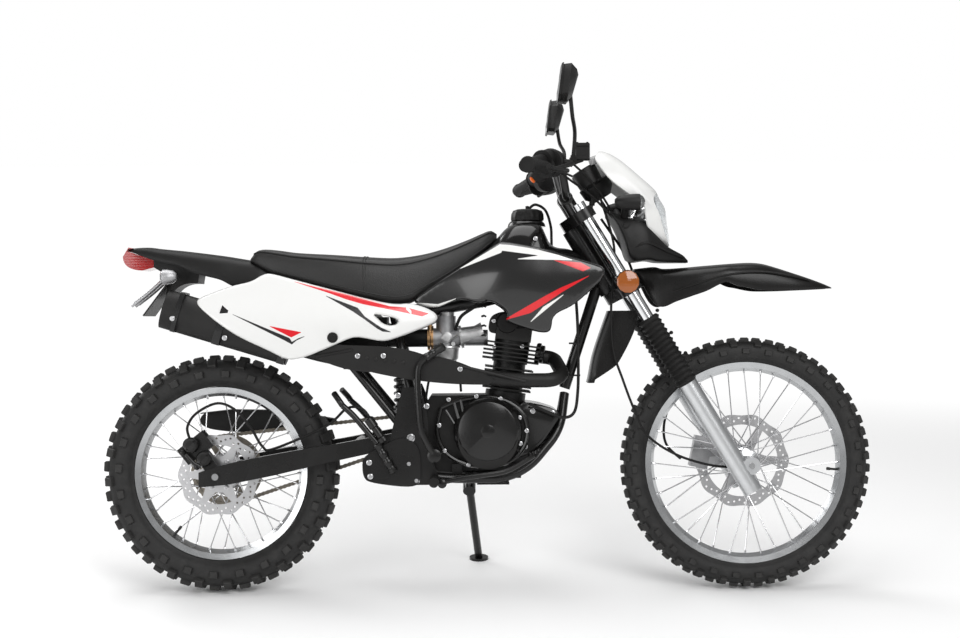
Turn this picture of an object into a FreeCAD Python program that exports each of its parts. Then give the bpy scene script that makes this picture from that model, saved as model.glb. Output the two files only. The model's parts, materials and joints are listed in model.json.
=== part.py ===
import FreeCAD, Part
import math
import os

from FreeCAD import Placement, Rotation, Vector

# A dual sport motorcycle, leaning on its side stand.
# Every piece is drawn on the upright machine: +X forward, +Y to the rider's left, +Z up,
# from the floor midway between the axles. One placement then leans it onto its stand.

sizes = {
    # stance
    "wheelbase": 1424,
    "lean_angle": 9,
    "seat_clearance": 0.3,
    "cut_overrun": 2,
    # front wheel
    "front_tyre_radius": 340,
    "front_tyre_width": 84,
    "front_rim_radius": 273,
    "front_rim_width": 46,
    "front_lug_height": 10,
    "front_lug_length": 17,
    "front_lug_count": 31,
    "front_hub_radius": 21,
    "front_hub_width": 84,
    "front_flange_radius": 36,
    "front_axle_radius": 8,
    "front_disc_radius": 130,
    "front_disc_offset": 53,
    # rear wheel
    "rear_tyre_radius": 321,
    "rear_tyre_width": 112,
    "rear_rim_radius": 234,
    "rear_rim_width": 58,
    "rear_lug_height": 13,
    "rear_lug_length": 20,
    "rear_lug_count": 25,
    "rear_hub_radius": 32,
    "rear_hub_width": 112,
    "rear_flange_radius": 50,
    "rear_axle_radius": 9,
    "rear_disc_radius": 110,
    "rear_disc_offset": 66,
    # parts that both wheels share
    "rim_flange_height": 13,
    "rim_wall": 3,
    "rim_well_depth": 9,
    "hub_flange_thickness": 6,
    "axle_clearance": 0.05,
    "spoke_radius": 1.9,
    "spoke_count": 36,
    "disc_thickness": 4,
    "disc_band": 34,
    "disc_carrier_radius": 40,
    "caliper_size": 50,
    # chain drive
    "rear_sprocket_radius": 96,
    "front_sprocket_radius": 32,
    "sprocket_thickness": 6,
    "sprocket_rim": 16,
    "chain_offset": 78,
    "chain_height": 11,
    "chain_width": 17,
    "chain_slot": 9,
    "front_sprocket_x": -130,
    "front_sprocket_z": 447,
    # steering and fork, laid out along and across the steering axis
    "rake_angle": 31,
    "fork_offset": 42,
    "axle_lead": 30,
    "fork_spacing": 190,
    "fork_tube_radius": 17.5,
    "fork_tube_top": 835,
    "fork_slider_radius": 26,
    "fork_slider_top": 275,
    "fork_slider_foot": -62,
    "fork_boot_radius": 31,
    "fork_boot_top": 478,
    "fork_boot_pleats": 14,
    "boot_pleat_depth": 5,
    "lower_clamp_along": 572,
    "upper_clamp_along": 802,
    "clamp_thickness": 30,
    "clamp_wall": 11,
    "head_tube_radius": 28,
    "stem_radius": 13,
    # handlebar
    "handlebar_radius": 11,
    "handlebar_width": 760,
    "riser_height": 64,
    "handlebar_forward": 26,
    "handlebar_rise": 104,
    "handlebar_pull": 66,
    "handlebar_centre_width": 190,
    "handlebar_bend": 48,
    "grip_radius": 16.5,
    "grip_length": 120,
    "grip_flange_radius": 27,
    "switch_pod_length": 44,
    "switch_pod_radius": 25,
    "lever_length": 165,
    "lever_radius": 6,
    "mirror_height": 96,
    "mirror_width": 118,
    "mirror_depth": 30,
    "mirror_z": 1322,
    "mirror_x": 196,
    "mirror_y": 330,
    "mirror_stem_radius": 5,
    # frame
    "backbone_radius": 20,
    "down_tube_radius": 15,
    "cradle_tube_radius": 13,
    "cradle_half_width": 84,
    "pivot_plate_half": 113,
    "subframe_tube_radius": 11,
    "subframe_half_width": 84,
    "pivot_plate_thickness": 8,
    "pivot_plate_width": 96,
    "swingarm_pivot_x": -195,
    "swingarm_pivot_z": 421,
    "pivot_bolt_radius": 8,
    "swingarm_depth": 56,
    "swingarm_boss_radius": 20,
    "swingarm_wall": 22,
    "swingarm_gap": 180,
    "swingarm_overhang": 46,
    "down_tube_foot_x": 222,
    "down_tube_foot_z": 545,
    "cradle_floor_z": 309,
    # engine
    "crankcase_length": 288,
    "crankcase_height": 204,
    "crankcase_width": 132,
    "crankcase_rear_x": -158,
    "crankcase_floor_z": 326,
    "cover_depth": 40,
    "clutch_cover_radius": 80,
    "clutch_cover_x": 12,
    "clutch_cover_z": 415,
    "cylinder_tilt_angle": 8,
    "cylinder_x": 62,
    "cylinder_length": 78,
    "cylinder_radius": 44,
    "fin_length": 152,
    "fin_width": 128,
    "fin_thickness": 3.5,
    "fin_pitch": 11,
    "head_height": 62,
    "head_cover_height": 46,
    "head_cover_length": 96,
    # intake and exhaust
    "carburettor_x": -100,
    "carburettor_z": 684,
    "carburettor_radius": 27,
    "carburettor_length": 70,
    "float_bowl_height": 52,
    "air_box_length": 118,
    "air_box_height": 140,
    "air_box_width": 108,
    "air_box_rear_x": -376,
    "air_box_floor_z": 602,
    "exhaust_pipe_radius": 19,
    "exhaust_port_z": 632,
    "exhaust_offset": 120,
    "silencer_length": 350,
    "silencer_height": 104,
    "silencer_width": 76,
    "silencer_slope_angle": 17,
    "silencer_front_x": -508,
    "silencer_front_z": 666,
    "silencer_offset": 120,
    "heat_shield_length": 500,
    "heat_shield_height": 90,
    "heat_shield_thickness": 3,
    # tank, seat and panels
    "panel_thickness": 4,
    "tank_length": 370,
    "tank_height": 260,
    "tank_width": 258,
    "tank_rear_x": -50,
    "tank_floor_z": 740,
    "fuel_cap_radius": 42,
    "fuel_cap_height": 34,
    "fuel_cap_x": 122,
    "shroud_length": 518,
    "shroud_height": 240,
    "shroud_rear_x": -195,
    "shroud_floor_z": 697,
    "seat_length": 668,
    "seat_rear_x": -626,
    "seat_floor_z": 775,
    "seat_height": 206,
    "seat_width": 226,
    "side_panel_length": 642,
    "side_panel_height": 232,
    "side_panel_rear_x": -760,
    "side_panel_floor_z": 630,
    "side_panel_half_width": 166,
    "tail_length": 340,
    "tail_height": 113,
    "tail_width": 176,
    "tail_rear_x": -968,
    "tail_floor_z": 825,
    "tail_light_length": 40,
    "tail_light_height": 50,
    "tail_light_width": 118,
    "plate_width": 150,
    "plate_height": 110,
    "plate_hole_radius": 3,
    "plate_hole_spacing": 110,
    "signal_radius": 26,
    "signal_length": 44,
    "signal_stalk_radius": 8,
    # front bodywork
    "cowl_length": 250,
    "cowl_height": 300,
    "cowl_width": 300,
    "cowl_setback": 412,
    "cowl_floor_z": 884,
    "mudguard_length": 532,
    "mudguard_height": 124,
    "mudguard_width": 186,
    "mudguard_setback": 300,
    "mudguard_floor_z": 760,
    # stand, pegs and levers
    "stand_pivot_x": -40,
    "stand_pivot_y": 96,
    "stand_pivot_z": 268,
    "stand_foot_advance": 25,
    "stand_foot_y": 264,
    "stand_leg_radius": 11,
    "stand_foot_radius": 27,
    "stand_foot_thickness": 7,
    "stand_travel_angle": 95,
    "shock_length": 186,
    "shock_spring_radius": 29,
    "peg_length": 96,
    "peg_radius": 13,
}

doc = FreeCAD.newDocument("dual_sport_motorcycle")
sheet = doc.addObject("Spreadsheet::Sheet", "sizes")
for row, (alias, value) in enumerate(sizes.items(), start=1):
    sheet.set(f"A{row}", alias)
    sheet.set(f"B{row}", str(value))
    sheet.setAlias(f"B{row}", alias)
doc.recompute()


class Sheet:
    # Reads a driving dimension from the spreadsheet by its alias.
    def __getattr__(self, alias):
        return float(sheet.get(alias))


d = Sheet()
across = Vector(0, 1, 0)
ahead = Vector(1, 0, 0)
upward = Vector(0, 0, 1)
sides = (-1, 1)

# The steering axis passes behind the front axle by the fork's offset and the axle's lead.
rake = math.radians(d.rake_angle)
front_axle = Vector(d.wheelbase / 2, 0, d.front_tyre_radius)
rear_axle = Vector(-d.wheelbase / 2, 0, d.rear_tyre_radius)
fork_upward = Vector(-math.sin(rake), 0, math.cos(rake))
fork_forward = Vector(math.cos(rake), 0, math.sin(rake))
axle_forward = d.fork_offset + d.axle_lead
fork_foot = front_axle - fork_forward * axle_forward
leg_half = d.fork_spacing / 2


def fork_place(along, forward=0, side=0):
    # A point given along the steering axis, forward of it and to the left of it.
    return fork_foot + fork_upward * along + fork_forward * forward + across * side


handlebar_along = d.upper_clamp_along + d.riser_height
mudguard_rear_x = front_axle.x - d.mudguard_setback
cowl_rear_x = front_axle.x - d.cowl_setback

# The lean that puts the side stand's foot on the floor.
lean_rotation = Rotation(Vector(1, 0, 0), -d.lean_angle)
lean = Placement(Vector(0, 0, 0), lean_rotation)
floor_slope = math.tan(math.radians(d.lean_angle))
pieces = {}


def keep(name, shape):
    # A finished sub-part, shaped on the upright machine and then leaned.
    piece = doc.addObject("Part::Feature", name)
    piece.Shape = shape
    piece.Label = name
    piece.Placement = lean.multiply(shape.Placement)
    pieces[name] = piece
    return piece


def keep_object(name, piece):
    # A finished parametric object, leaned as it stands.
    piece.Label = name
    piece.Placement = lean.multiply(piece.Placement)
    pieces[name] = piece
    return piece


def bound(kind, name, **expressions):
    # An object whose properties follow the spreadsheet.
    piece = doc.addObject(kind, name)
    for prop, expression in expressions.items():
        piece.setExpression(prop, expression)
    return piece


def joined(*shapes):
    solids = [solid for shape in shapes for solid in shape.Solids]
    if len(solids) == 1:
        return solids[0]
    return solids[0].multiFuse(solids[1:]).removeSplitter()


def grouped(*shapes):
    # Like pieces of one body that don't touch share a node.
    return Part.makeCompound([solid for shape in shapes for solid in shape.Solids])


def rod(start, end, radius, end_radius=None):
    run = end - start
    if end_radius is None:
        return Part.makeCylinder(radius, run.Length, start, run)
    return Part.makeCone(radius, end_radius, run.Length, start, run)


def slender_bar(start, end, radius):
    # A six-sided bar, for what is too thin to need a round section.
    run = end - start
    corners = 6
    turn = Rotation(upward, run)
    points = []
    for index in range(corners + 1):
        angle = math.radians(index * 360 / corners)
        points.append(start + turn.multVec(Vector(radius * math.cos(angle), radius * math.sin(angle), 0)))
    return Part.Face(Part.makePolygon(points)).extrude(run)


def ring(centre, axis, outer, inner, thickness):
    # A washer-like ring, centred on its own thickness.
    start = centre - axis * (thickness / 2)
    disc = Part.makeCylinder(outer, thickness, start, axis)
    hole_start = start - axis * d.cut_overrun
    return disc.cut(Part.makeCylinder(inner, thickness + 2 * d.cut_overrun, hole_start, axis))


def bent_tube(points, radius, bend=None):
    # Straight runs joined by tangent arcs, as tube is bent. A bend is its radius, where it has one.
    edges = []
    start = points[0]
    for index in range(1, len(points) - 1):
        before = points[index] - points[index - 1]
        after = points[index + 1] - points[index]
        turn = before.getAngle(after)
        setback = 0.45 * min(before.Length, after.Length)
        if bend is not None:
            setback = min(setback, bend * math.tan(turn / 2))
        before.normalize()
        after.normalize()
        arc_start = points[index] - before * setback
        arc_end = points[index] + after * setback
        bend_radius = setback / math.tan(turn / 2)
        inward = after - before
        inward.normalize()
        centre = points[index] + inward * (bend_radius / math.cos(turn / 2))
        middle = centre - inward * bend_radius
        edges.append(Part.LineSegment(start, arc_start).toShape())
        edges.append(Part.Arc(arc_start, middle, arc_end).toShape())
        start = arc_end
    edges.append(Part.LineSegment(start, points[-1]).toShape())
    path = Part.Wire(edges)
    section = Part.Wire([Part.Circle(points[0], points[1] - points[0], radius).toShape()])
    return path.makePipeShell([section], True, True)


def mirrored(shape):
    return shape.mirror(Vector(0, 0, 0), across)


def outline(runs_share, place):
    # A closed outline: a run of one point is straight, a longer run is one smooth curve.
    last = runs_share[-1][-1]
    edges = []
    for run in runs_share:
        points = [place(*last)] + [place(*share) for share in run]
        if len(points) == 2:
            edges.append(Part.LineSegment(points[0], points[1]).toShape())
        else:
            curve = Part.BSplineCurve()
            curve.interpolate(points)
            edges.append(curve.toShape())
        last = run[-1]
    return Part.Face(Part.Wire(edges))


def side_form(runs_share, rear, floor, length, height, width, offset=0):
    # A side outline thickened across the machine, centred on the offset.
    def place(u, v):
        return Vector(rear + u * length, offset - width / 2, floor + v * height)
    return outline(runs_share, place).extrude(across * width)


def plan_form(half_shares, rear, length, half_width, low, height):
    # A symmetrical outline seen from above, raised through the given height.
    left = [(u, v) for u, v in half_shares]
    right = [(u, -v) for u, v in reversed(half_shares)]
    def place(u, v):
        return Vector(rear + u * length, v * half_width, low)
    runs = [[left[0]], left[1:], [right[0]], right[1:]]
    return outline(runs, place).extrude(upward * height)


def turned(axis_point, profile):
    # A profile of (radius, side) points turned about a wheel's axle line.
    def place(radius, side):
        return axis_point + Vector(radius, side, 0)
    points = [place(*point) for point in profile]
    wire = Part.makePolygon(points + points[:1])
    return Part.Face(wire).revolve(axis_point, across, 360)


# tyres


def tyre(centre, radius, width, rim_radius, lug_height, lug_length, lug_count):
    # A carcass of straight bands, with one row of lugs on the crown and one on each shoulder.
    crown = radius - lug_height
    half = width / 2 - lug_height * 0.35
    bead = rim_radius + d.seat_clearance
    profile_shares = ((0, 0.50), (0.38, 1), (0.79, 0.96), (1, 0.44))
    right = [Vector(bead + rise * (crown - bead), -side * half, 0) for rise, side in profile_shares]
    left = [Vector(point.x, -point.y, 0) for point in reversed(right)]
    carcass = turned(centre, [(point.x, point.y) for point in right + left])
    bands = ((right[3], left[0], 0.66, 0), (right[2], right[3], 0.80, 0.5), (left[0], left[1], 0.80, 0.5))
    lugs = []
    for start, end, width_share, start_share in bands:
        along = end - start
        lug_width = along.Length * width_share
        tilt = 90 - math.degrees(math.atan2(along.y, along.x))
        middle = (start + end) / 2
        block = Part.makeBox(lug_height + d.cut_overrun, lug_width, lug_length)
        block.translate(Vector(-d.cut_overrun, -lug_width / 2, -lug_length / 2))
        block.rotate(Vector(0, 0, 0), upward, -tilt)
        block.translate(middle)
        for index in range(int(lug_count)):
            copy = block.copy()
            copy.rotate(Vector(0, 0, 0), across, (index + start_share) * 360 / lug_count)
            copy.translate(centre)
            lugs.append(copy)
    return carcass.multiFuse(lugs)


keep("front_tyre", tyre(front_axle, d.front_tyre_radius, d.front_tyre_width, d.front_rim_radius,
                        d.front_lug_height, d.front_lug_length, d.front_lug_count))
keep("rear_tyre", tyre(rear_axle, d.rear_tyre_radius, d.rear_tyre_width, d.rear_rim_radius,
                       d.rear_lug_height, d.rear_lug_length, d.rear_lug_count))

tyre_low = min(pieces[name].Shape.optimalBoundingBox(False).ZMin for name in ("front_tyre", "rear_tyre"))

# laced wheels


def laced_wheel(centre, rim_radius, rim_width, hub_radius, hub_width, flange_radius, axle_radius):
    # A rolled rim, a hub with two flanges, and crossed spokes in four rows between them.
    half_rim = rim_width / 2
    lip = d.rim_wall
    bed = rim_radius - d.rim_flange_height
    well = bed - d.rim_well_depth
    rim_profile = [
        (rim_radius, -half_rim), (rim_radius, -half_rim + lip), (bed, -half_rim + 3 * lip),
        (well, 0), (bed, half_rim - 3 * lip), (rim_radius, half_rim - lip), (rim_radius, half_rim),
        (bed - lip, half_rim - lip), (well - lip, 0), (bed - lip, -half_rim + lip),
    ]
    rim = turned(centre, rim_profile)
    half_hub = hub_width / 2
    flange = d.hub_flange_thickness
    bore = axle_radius + d.axle_clearance
    inner = half_hub - 2 * flange
    hub_profile = [
        (bore, -half_hub), (hub_radius, -half_hub), (flange_radius, -half_hub + flange),
        (flange_radius, -inner), (hub_radius, -inner + flange),
        (hub_radius, inner - flange), (flange_radius, inner), (flange_radius, half_hub - flange),
        (hub_radius, half_hub), (bore, half_hub),
    ]
    hub = turned(centre, hub_profile)
    hook_radius = flange_radius + d.spoke_radius + d.seat_clearance
    slope = (bed - well) / (half_rim - lip)
    sweep_share = 0.9
    spokes = []
    for index in range(int(d.spoke_count)):
        angle = math.radians(index * 360 / d.spoke_count)
        side = (inner + flange / 2) * (1 if index % 2 else -1)
        sweep = sweep_share if index % 4 < 2 else -sweep_share
        hook = centre + Vector(hook_radius * math.cos(angle + sweep), side,
                               hook_radius * math.sin(angle + sweep))
        nipple_radius = well - lip + abs(side) / 4 * slope - d.seat_clearance - d.spoke_radius / 2
        nipple = centre + Vector(nipple_radius * math.cos(angle), side / 4, nipple_radius * math.sin(angle))
        spokes.append(slender_bar(hook, nipple, d.spoke_radius))
    return rim, hub, grouped(*spokes)


def brake_disc(centre, radius, offset, hub_radius):
    # A ring on a spoked carrier that bolts to the end of the hub.
    face = centre + across * offset
    rotor = ring(face, across, radius, radius - d.disc_band, d.disc_thickness)
    carrier = ring(face, across, d.disc_carrier_radius, hub_radius + d.seat_clearance, d.disc_thickness)
    arms = []
    arm_count = 6
    reach = radius - d.disc_band / 2
    for index in range(arm_count):
        arm = Part.makeBox(reach - hub_radius * 1.5, d.disc_thickness, d.disc_band / 2)
        arm.translate(Vector(hub_radius * 1.5, -d.disc_thickness / 2, -d.disc_band / 4))
        arm.rotate(Vector(0, 0, 0), across, index * 360 / arm_count)
        arm.translate(face)
        arms.append(arm)
    return joined(rotor, carrier, *arms)


for end, centre in (("front", front_axle), ("rear", rear_axle)):
    names = ("rim_radius", "rim_width", "hub_radius", "hub_width", "flange_radius", "axle_radius")
    rim, hub, spokes = laced_wheel(centre, *(getattr(d, f"{end}_{name}") for name in names))
    keep(f"{end}_rim", rim)
    keep(f"{end}_hub", hub)
    keep(f"{end}_spokes", spokes)
front_disc_side = d.front_hub_width / 2 + d.disc_thickness / 2 + d.seat_clearance
rear_disc_side = d.rear_hub_width / 2 + d.disc_thickness / 2 + d.seat_clearance
keep("front_disc", brake_disc(front_axle, d.front_disc_radius, front_disc_side, d.front_axle_radius))
keep("rear_disc", brake_disc(rear_axle, d.rear_disc_radius, -rear_disc_side, d.rear_axle_radius))

# final drive


def drive_line(front_radius, rear_radius):
    # The closed outline of a belt round both sprockets, as a face on the chain's side.
    front = Vector(d.front_sprocket_x, 0, d.front_sprocket_z)
    run = front - rear_axle
    lean_angle = math.atan2(run.z, run.x)
    open_angle = math.acos((rear_radius - front_radius) / run.Length)

    def on(centre, radius, angle):
        return centre + Vector(radius * math.cos(angle), 0, radius * math.sin(angle))
    above = lean_angle + open_angle
    below = lean_angle - open_angle
    rear_top = on(rear_axle, rear_radius, above)
    rear_low = on(rear_axle, rear_radius, below)
    front_top = on(front, front_radius, above)
    front_low = on(front, front_radius, below)
    wire = Part.Wire([
        Part.LineSegment(rear_top, front_top).toShape(),
        Part.Arc(front_top, on(front, front_radius, lean_angle), front_low).toShape(),
        Part.LineSegment(front_low, rear_low).toShape(),
        Part.Arc(rear_low, on(rear_axle, rear_radius, lean_angle + math.pi), rear_top).toShape(),
    ])
    return Part.Face(wire)


def drive_chain():
    # Two rows of side plates that straddle the sprockets, tied by pins along the straight runs.
    half = d.chain_height / 2
    plate = (d.chain_width - d.chain_slot) / 2
    outer = drive_line(d.front_sprocket_radius + half, d.rear_sprocket_radius + half)
    inner = drive_line(d.front_sprocket_radius - half, d.rear_sprocket_radius - half)
    rows = []
    for start in (d.chain_offset - d.chain_width / 2, d.chain_offset + d.chain_slot / 2):
        row = outer.cut(inner).extrude(across * plate)
        row.translate(across * start)
        rows.append(row)
    ties = []
    tie_shares = (0.2, 0.35, 0.5, 0.65, 0.8)
    front = Vector(d.front_sprocket_x, d.chain_offset - d.chain_width / 2, d.front_sprocket_z)
    rear = rear_axle + across * front.y
    run = front - rear
    open_angle = math.acos((d.rear_sprocket_radius - d.front_sprocket_radius) / run.Length)
    for turn in (open_angle, -open_angle):
        angle = math.atan2(run.z, run.x) + turn
        outward = Vector(math.cos(angle), 0, math.sin(angle))
        start = rear + outward * d.rear_sprocket_radius
        end = front + outward * d.front_sprocket_radius
        for share in tie_shares:
            ties.append(rod(start + (end - start) * share, start + (end - start) * share
                            + across * d.chain_width, half / 2))
    return joined(*rows, *ties)


keep("drive_chain", drive_chain())


def front_sprocket():
    # The sprocket on the gearbox's shaft.
    centre = Vector(d.front_sprocket_x, d.chain_offset, d.front_sprocket_z)
    half = d.chain_slot / 2 - d.seat_clearance
    tip = d.front_sprocket_radius + d.chain_height / 4
    case_side = Vector(centre.x, d.crankcase_width / 2 + d.seat_clearance, centre.z)
    return joined(rod(centre - across * half, centre + across * half, tip),
                  rod(case_side, centre + across * d.chain_width, tip * 0.35))


keep("front_sprocket", front_sprocket())
sprocket_inner = d.rear_sprocket_radius - d.chain_height / 2 - d.sprocket_rim
sprocket_tip = d.rear_sprocket_radius + d.chain_height / 4
sprocket = ring(rear_axle + across * d.chain_offset, across, sprocket_tip, sprocket_inner, d.sprocket_thickness)
hub_end = d.rear_hub_width / 2 + d.seat_clearance
sprocket_seat = d.chain_offset - d.sprocket_thickness / 2
carrier = ring(rear_axle + across * ((hub_end + d.chain_offset + d.sprocket_thickness / 2) / 2), across,
               d.rear_hub_radius, d.rear_axle_radius + d.axle_clearance,
               d.chain_offset + d.sprocket_thickness / 2 - hub_end)
sprocket_arms = []
for index in range(6):
    arm = Part.makeBox(sprocket_inner + d.sprocket_rim / 2, d.sprocket_thickness, d.sprocket_rim)
    arm.translate(Vector(0, -d.sprocket_thickness / 2, -d.sprocket_rim / 2))
    arm.rotate(Vector(0, 0, 0), across, index * 60)
    arm.translate(rear_axle + across * d.chain_offset)
    sprocket_arms.append(arm)
bore_cut = rod(rear_axle, rear_axle + across * d.chain_width * 6, d.rear_axle_radius + d.axle_clearance)
keep("rear_sprocket", joined(sprocket, carrier, *sprocket_arms).cut(bore_cut))

# fork, clamps and steering head
leg_top = d.fork_tube_top
both = (-leg_half, leg_half)
tubes = [rod(fork_place(d.fork_slider_top - d.clamp_thickness, d.fork_offset, y),
             fork_place(leg_top, d.fork_offset, y), d.fork_tube_radius) for y in both]
keep("fork_tubes", grouped(*tubes))


def fork_slider(y):
    # The lower leg: bored for the tube, with the axle clamp on its leading face.
    foot = fork_place(d.fork_slider_foot, d.fork_offset, y)
    top = fork_place(d.fork_slider_top, d.fork_offset, y)
    shell = rod(foot, top, d.fork_slider_radius)
    axle_point = front_axle + across * y
    lug = Part.makeCylinder(d.fork_slider_radius * 0.9, d.fork_slider_radius * 1.6,
                            axle_point - across * d.fork_slider_radius * 0.8, across)
    shell = joined(shell, lug)
    bore = rod(fork_place(d.fork_slider_top - d.clamp_thickness * 1.5, d.fork_offset, y),
               fork_place(d.fork_slider_top + d.cut_overrun, d.fork_offset, y),
               d.fork_tube_radius + d.axle_clearance)
    axle_bore = Part.makeCylinder(d.front_axle_radius + d.axle_clearance, d.fork_slider_radius * 4,
                                  axle_point - across * d.fork_slider_radius * 2, across)
    return shell.cut(bore).cut(axle_bore)


keep("fork_sliders", grouped(*[fork_slider(y) for y in both]))


def fork_boot(y):
    # A pleated rubber gaiter between the slider and the bare tube.
    start = d.fork_slider_top + d.seat_clearance
    pitch = (d.fork_boot_top - start) / d.fork_boot_pleats
    inner = d.fork_tube_radius + d.seat_clearance
    profile = [Vector(inner, 0, start)]
    for index in range(int(d.fork_boot_pleats)):
        low = start + index * pitch
        profile.append(Vector(d.fork_boot_radius - d.boot_pleat_depth, 0, low))
        profile.append(Vector(d.fork_boot_radius, 0, low + pitch / 2))
    profile.append(Vector(d.fork_boot_radius - d.boot_pleat_depth, 0, d.fork_boot_top))
    profile.append(Vector(inner, 0, d.fork_boot_top))
    face = Part.Face(Part.makePolygon(profile + profile[:1]))
    boot = face.revolve(Vector(0, 0, 0), upward, 360)
    boot.rotate(Vector(0, 0, 0), across, -d.rake_angle)
    boot.translate(fork_place(0, d.fork_offset, y))
    return boot


keep("fork_boots", grouped(*[fork_boot(y) for y in both]))


def fork_clamp(along):
    # A bridge across both legs, narrow round the stem and bored for the fork tubes.
    grip = d.fork_tube_radius + d.clamp_wall
    low = along - d.clamp_thickness / 2
    half = d.fork_spacing / 2
    behind = -1.6 * d.stem_radius
    ahead_of_legs = d.fork_offset + grip / 2
    corners = [(behind, -1.6 * d.stem_radius), (d.fork_offset - grip, -half), (ahead_of_legs, -half),
               (ahead_of_legs, half), (d.fork_offset - grip, half), (behind, 1.6 * d.stem_radius)]
    points = [fork_place(low, forward, y) for forward, y in corners]
    bridge = Part.Face(Part.makePolygon(points + points[:1])).extrude(fork_upward * d.clamp_thickness)
    collars = []
    bores = []
    for y in both:
        start = fork_place(low, d.fork_offset, y)
        collars.append(rod(start, start + fork_upward * d.clamp_thickness, grip))
        bores.append(rod(start - fork_upward * d.cut_overrun,
                         start + fork_upward * (d.clamp_thickness + d.cut_overrun),
                         d.fork_tube_radius + d.axle_clearance))
    return joined(bridge, *collars).cut(bores)


def bar_riser(side):
    # A post on the upper clamp, bored for the handlebar.
    y = side * d.handlebar_centre_width * 0.23
    radius = d.handlebar_radius + d.clamp_wall * 0.7
    low = fork_place(d.upper_clamp_along, d.handlebar_forward, y)
    post = rod(low, fork_place(handlebar_along, d.handlebar_forward, y), radius)
    centre = fork_place(handlebar_along, d.handlebar_forward, 0)
    cap = rod(centre + across * (y - radius), centre + across * (y + radius), radius)
    return joined(post, cap)


def mudguard_seat():
    # A tongue on the lower clamp that reaches forward under the front mudguard.
    low = fork_place(d.lower_clamp_along, d.fork_offset)
    under = d.mudguard_floor_z + d.mudguard_height * 0.92
    reach = mudguard_rear_x + d.mudguard_length * 0.22
    tongue = Part.makeBox(reach - low.x + d.clamp_wall, d.fork_spacing * 0.3, d.panel_thickness * 2,
                          Vector(low.x - d.clamp_wall, -d.fork_spacing * 0.15, low.z + d.clamp_thickness * 0.2))
    post_x = mudguard_rear_x + d.mudguard_length * 0.18
    post = Part.makeBox(d.clamp_thickness, d.fork_spacing * 0.3, under - low.z - d.clamp_thickness * 0.2,
                        Vector(post_x, -d.fork_spacing * 0.15, low.z + d.clamp_thickness * 0.2))
    return joined(tongue, post)


stem = rod(fork_place(d.lower_clamp_along), fork_place(d.upper_clamp_along), d.stem_radius)
bar_middle = fork_place(handlebar_along, d.handlebar_forward)
bar_bore = rod(bar_middle - across * d.fork_spacing, bar_middle + across * d.fork_spacing,
               d.handlebar_radius + d.axle_clearance)
clamps = joined(fork_clamp(d.lower_clamp_along), fork_clamp(d.upper_clamp_along), stem, bar_riser(-1), bar_riser(1))


# handlebar and controls
bar_centre = fork_place(handlebar_along, d.handlebar_forward)
bar_half = d.handlebar_width / 2


def bar_points(side):
    # From the clamp outward: along, up and out, then back into the grip.
    centre_half = d.handlebar_centre_width / 2
    shoulder = bar_centre + Vector(0, side * centre_half, 0)
    rise_spread_share = 0.62
    elbow = bar_centre + Vector(-d.handlebar_pull * 0.35, side * (centre_half + d.handlebar_rise * rise_spread_share),
                                d.handlebar_rise)
    tip = bar_centre + Vector(-d.handlebar_pull - d.handlebar_rise / 2, side * bar_half,
                              d.handlebar_rise * 0.55)
    return [shoulder, elbow, tip]


bar_path = bar_points(-1)[::-1] + bar_points(1)
keep("handlebar", bent_tube(bar_path, d.handlebar_radius, d.handlebar_bend))


def hand_control(side):
    # A rubber grip with its flange, a switch pod, and the lever on its perch.
    shoulder, elbow, tip = bar_points(side)
    run = elbow - tip
    run.normalize()
    bore_radius = d.handlebar_radius + d.seat_clearance
    cap = d.grip_radius / 4
    grip_start = tip - run * cap
    grip = rod(grip_start, tip + run * d.grip_length, d.grip_radius)
    flange = rod(tip + run * (d.grip_length - cap), tip + run * d.grip_length, d.grip_flange_radius)
    pod_start = tip + run * (d.grip_length + d.seat_clearance)
    pod = rod(pod_start, pod_start + run * d.switch_pod_length, d.switch_pod_radius)
    perch_end = pod_start + run * d.switch_pod_length * 0.8
    reach = Vector(d.switch_pod_radius * 2.6, 0, -d.switch_pod_radius / 2)
    lever_root = perch_end + reach
    arm = rod(perch_end, lever_root, d.lever_radius * 1.5)
    lever_tip = lever_root - run * d.lever_length
    blade = rod(lever_root, lever_tip, d.lever_radius)
    bore = rod(tip, tip + run * (d.grip_length + d.switch_pod_length * 2), bore_radius)
    return grouped(joined(grip, flange).cut(bore), joined(pod, arm, blade).cut(bore))


keep("hand_controls", grouped(hand_control(-1), hand_control(1)))


def mirror(side):
    # A rounded shell on a bent stem that screws into the lever's perch.
    head = Vector(d.mirror_x, side * d.mirror_y, d.mirror_z)
    shoulder, elbow, tip = bar_points(side)
    run = elbow - tip
    run.normalize()
    pod_start = tip + run * (d.grip_length + d.seat_clearance)
    upright = run.cross(ahead) * side
    perch = pod_start + run * d.switch_pod_length / 2 + upright.normalize() * (d.switch_pod_radius + d.seat_clearance)
    half_width = d.mirror_width / 2
    half_height = d.mirror_height / 2
    shell_share = [
        [(-1, -0.1), (-0.8, 0.8)], [(-0.3, 1), (0.4, 1), (0.85, 0.75)],
        [(1, 0.1), (0.9, -0.7)], [(0.3, -1), (-0.5, -1), (-0.86, -0.8)],
    ]

    def place(u, v):
        return head + Vector(-d.mirror_depth / 2, u * half_width, v * half_height)
    shell = outline(shell_share, place).extrude(ahead * d.mirror_depth)
    stem_run = [perch, perch + upright * d.mirror_height * 0.7,
                head + Vector(d.mirror_depth / 2, 0, -half_height * 0.6)]
    return joined(shell, bent_tube(stem_run, d.mirror_stem_radius))


keep("mirrors", grouped(mirror(-1), mirror(1)))

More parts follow.
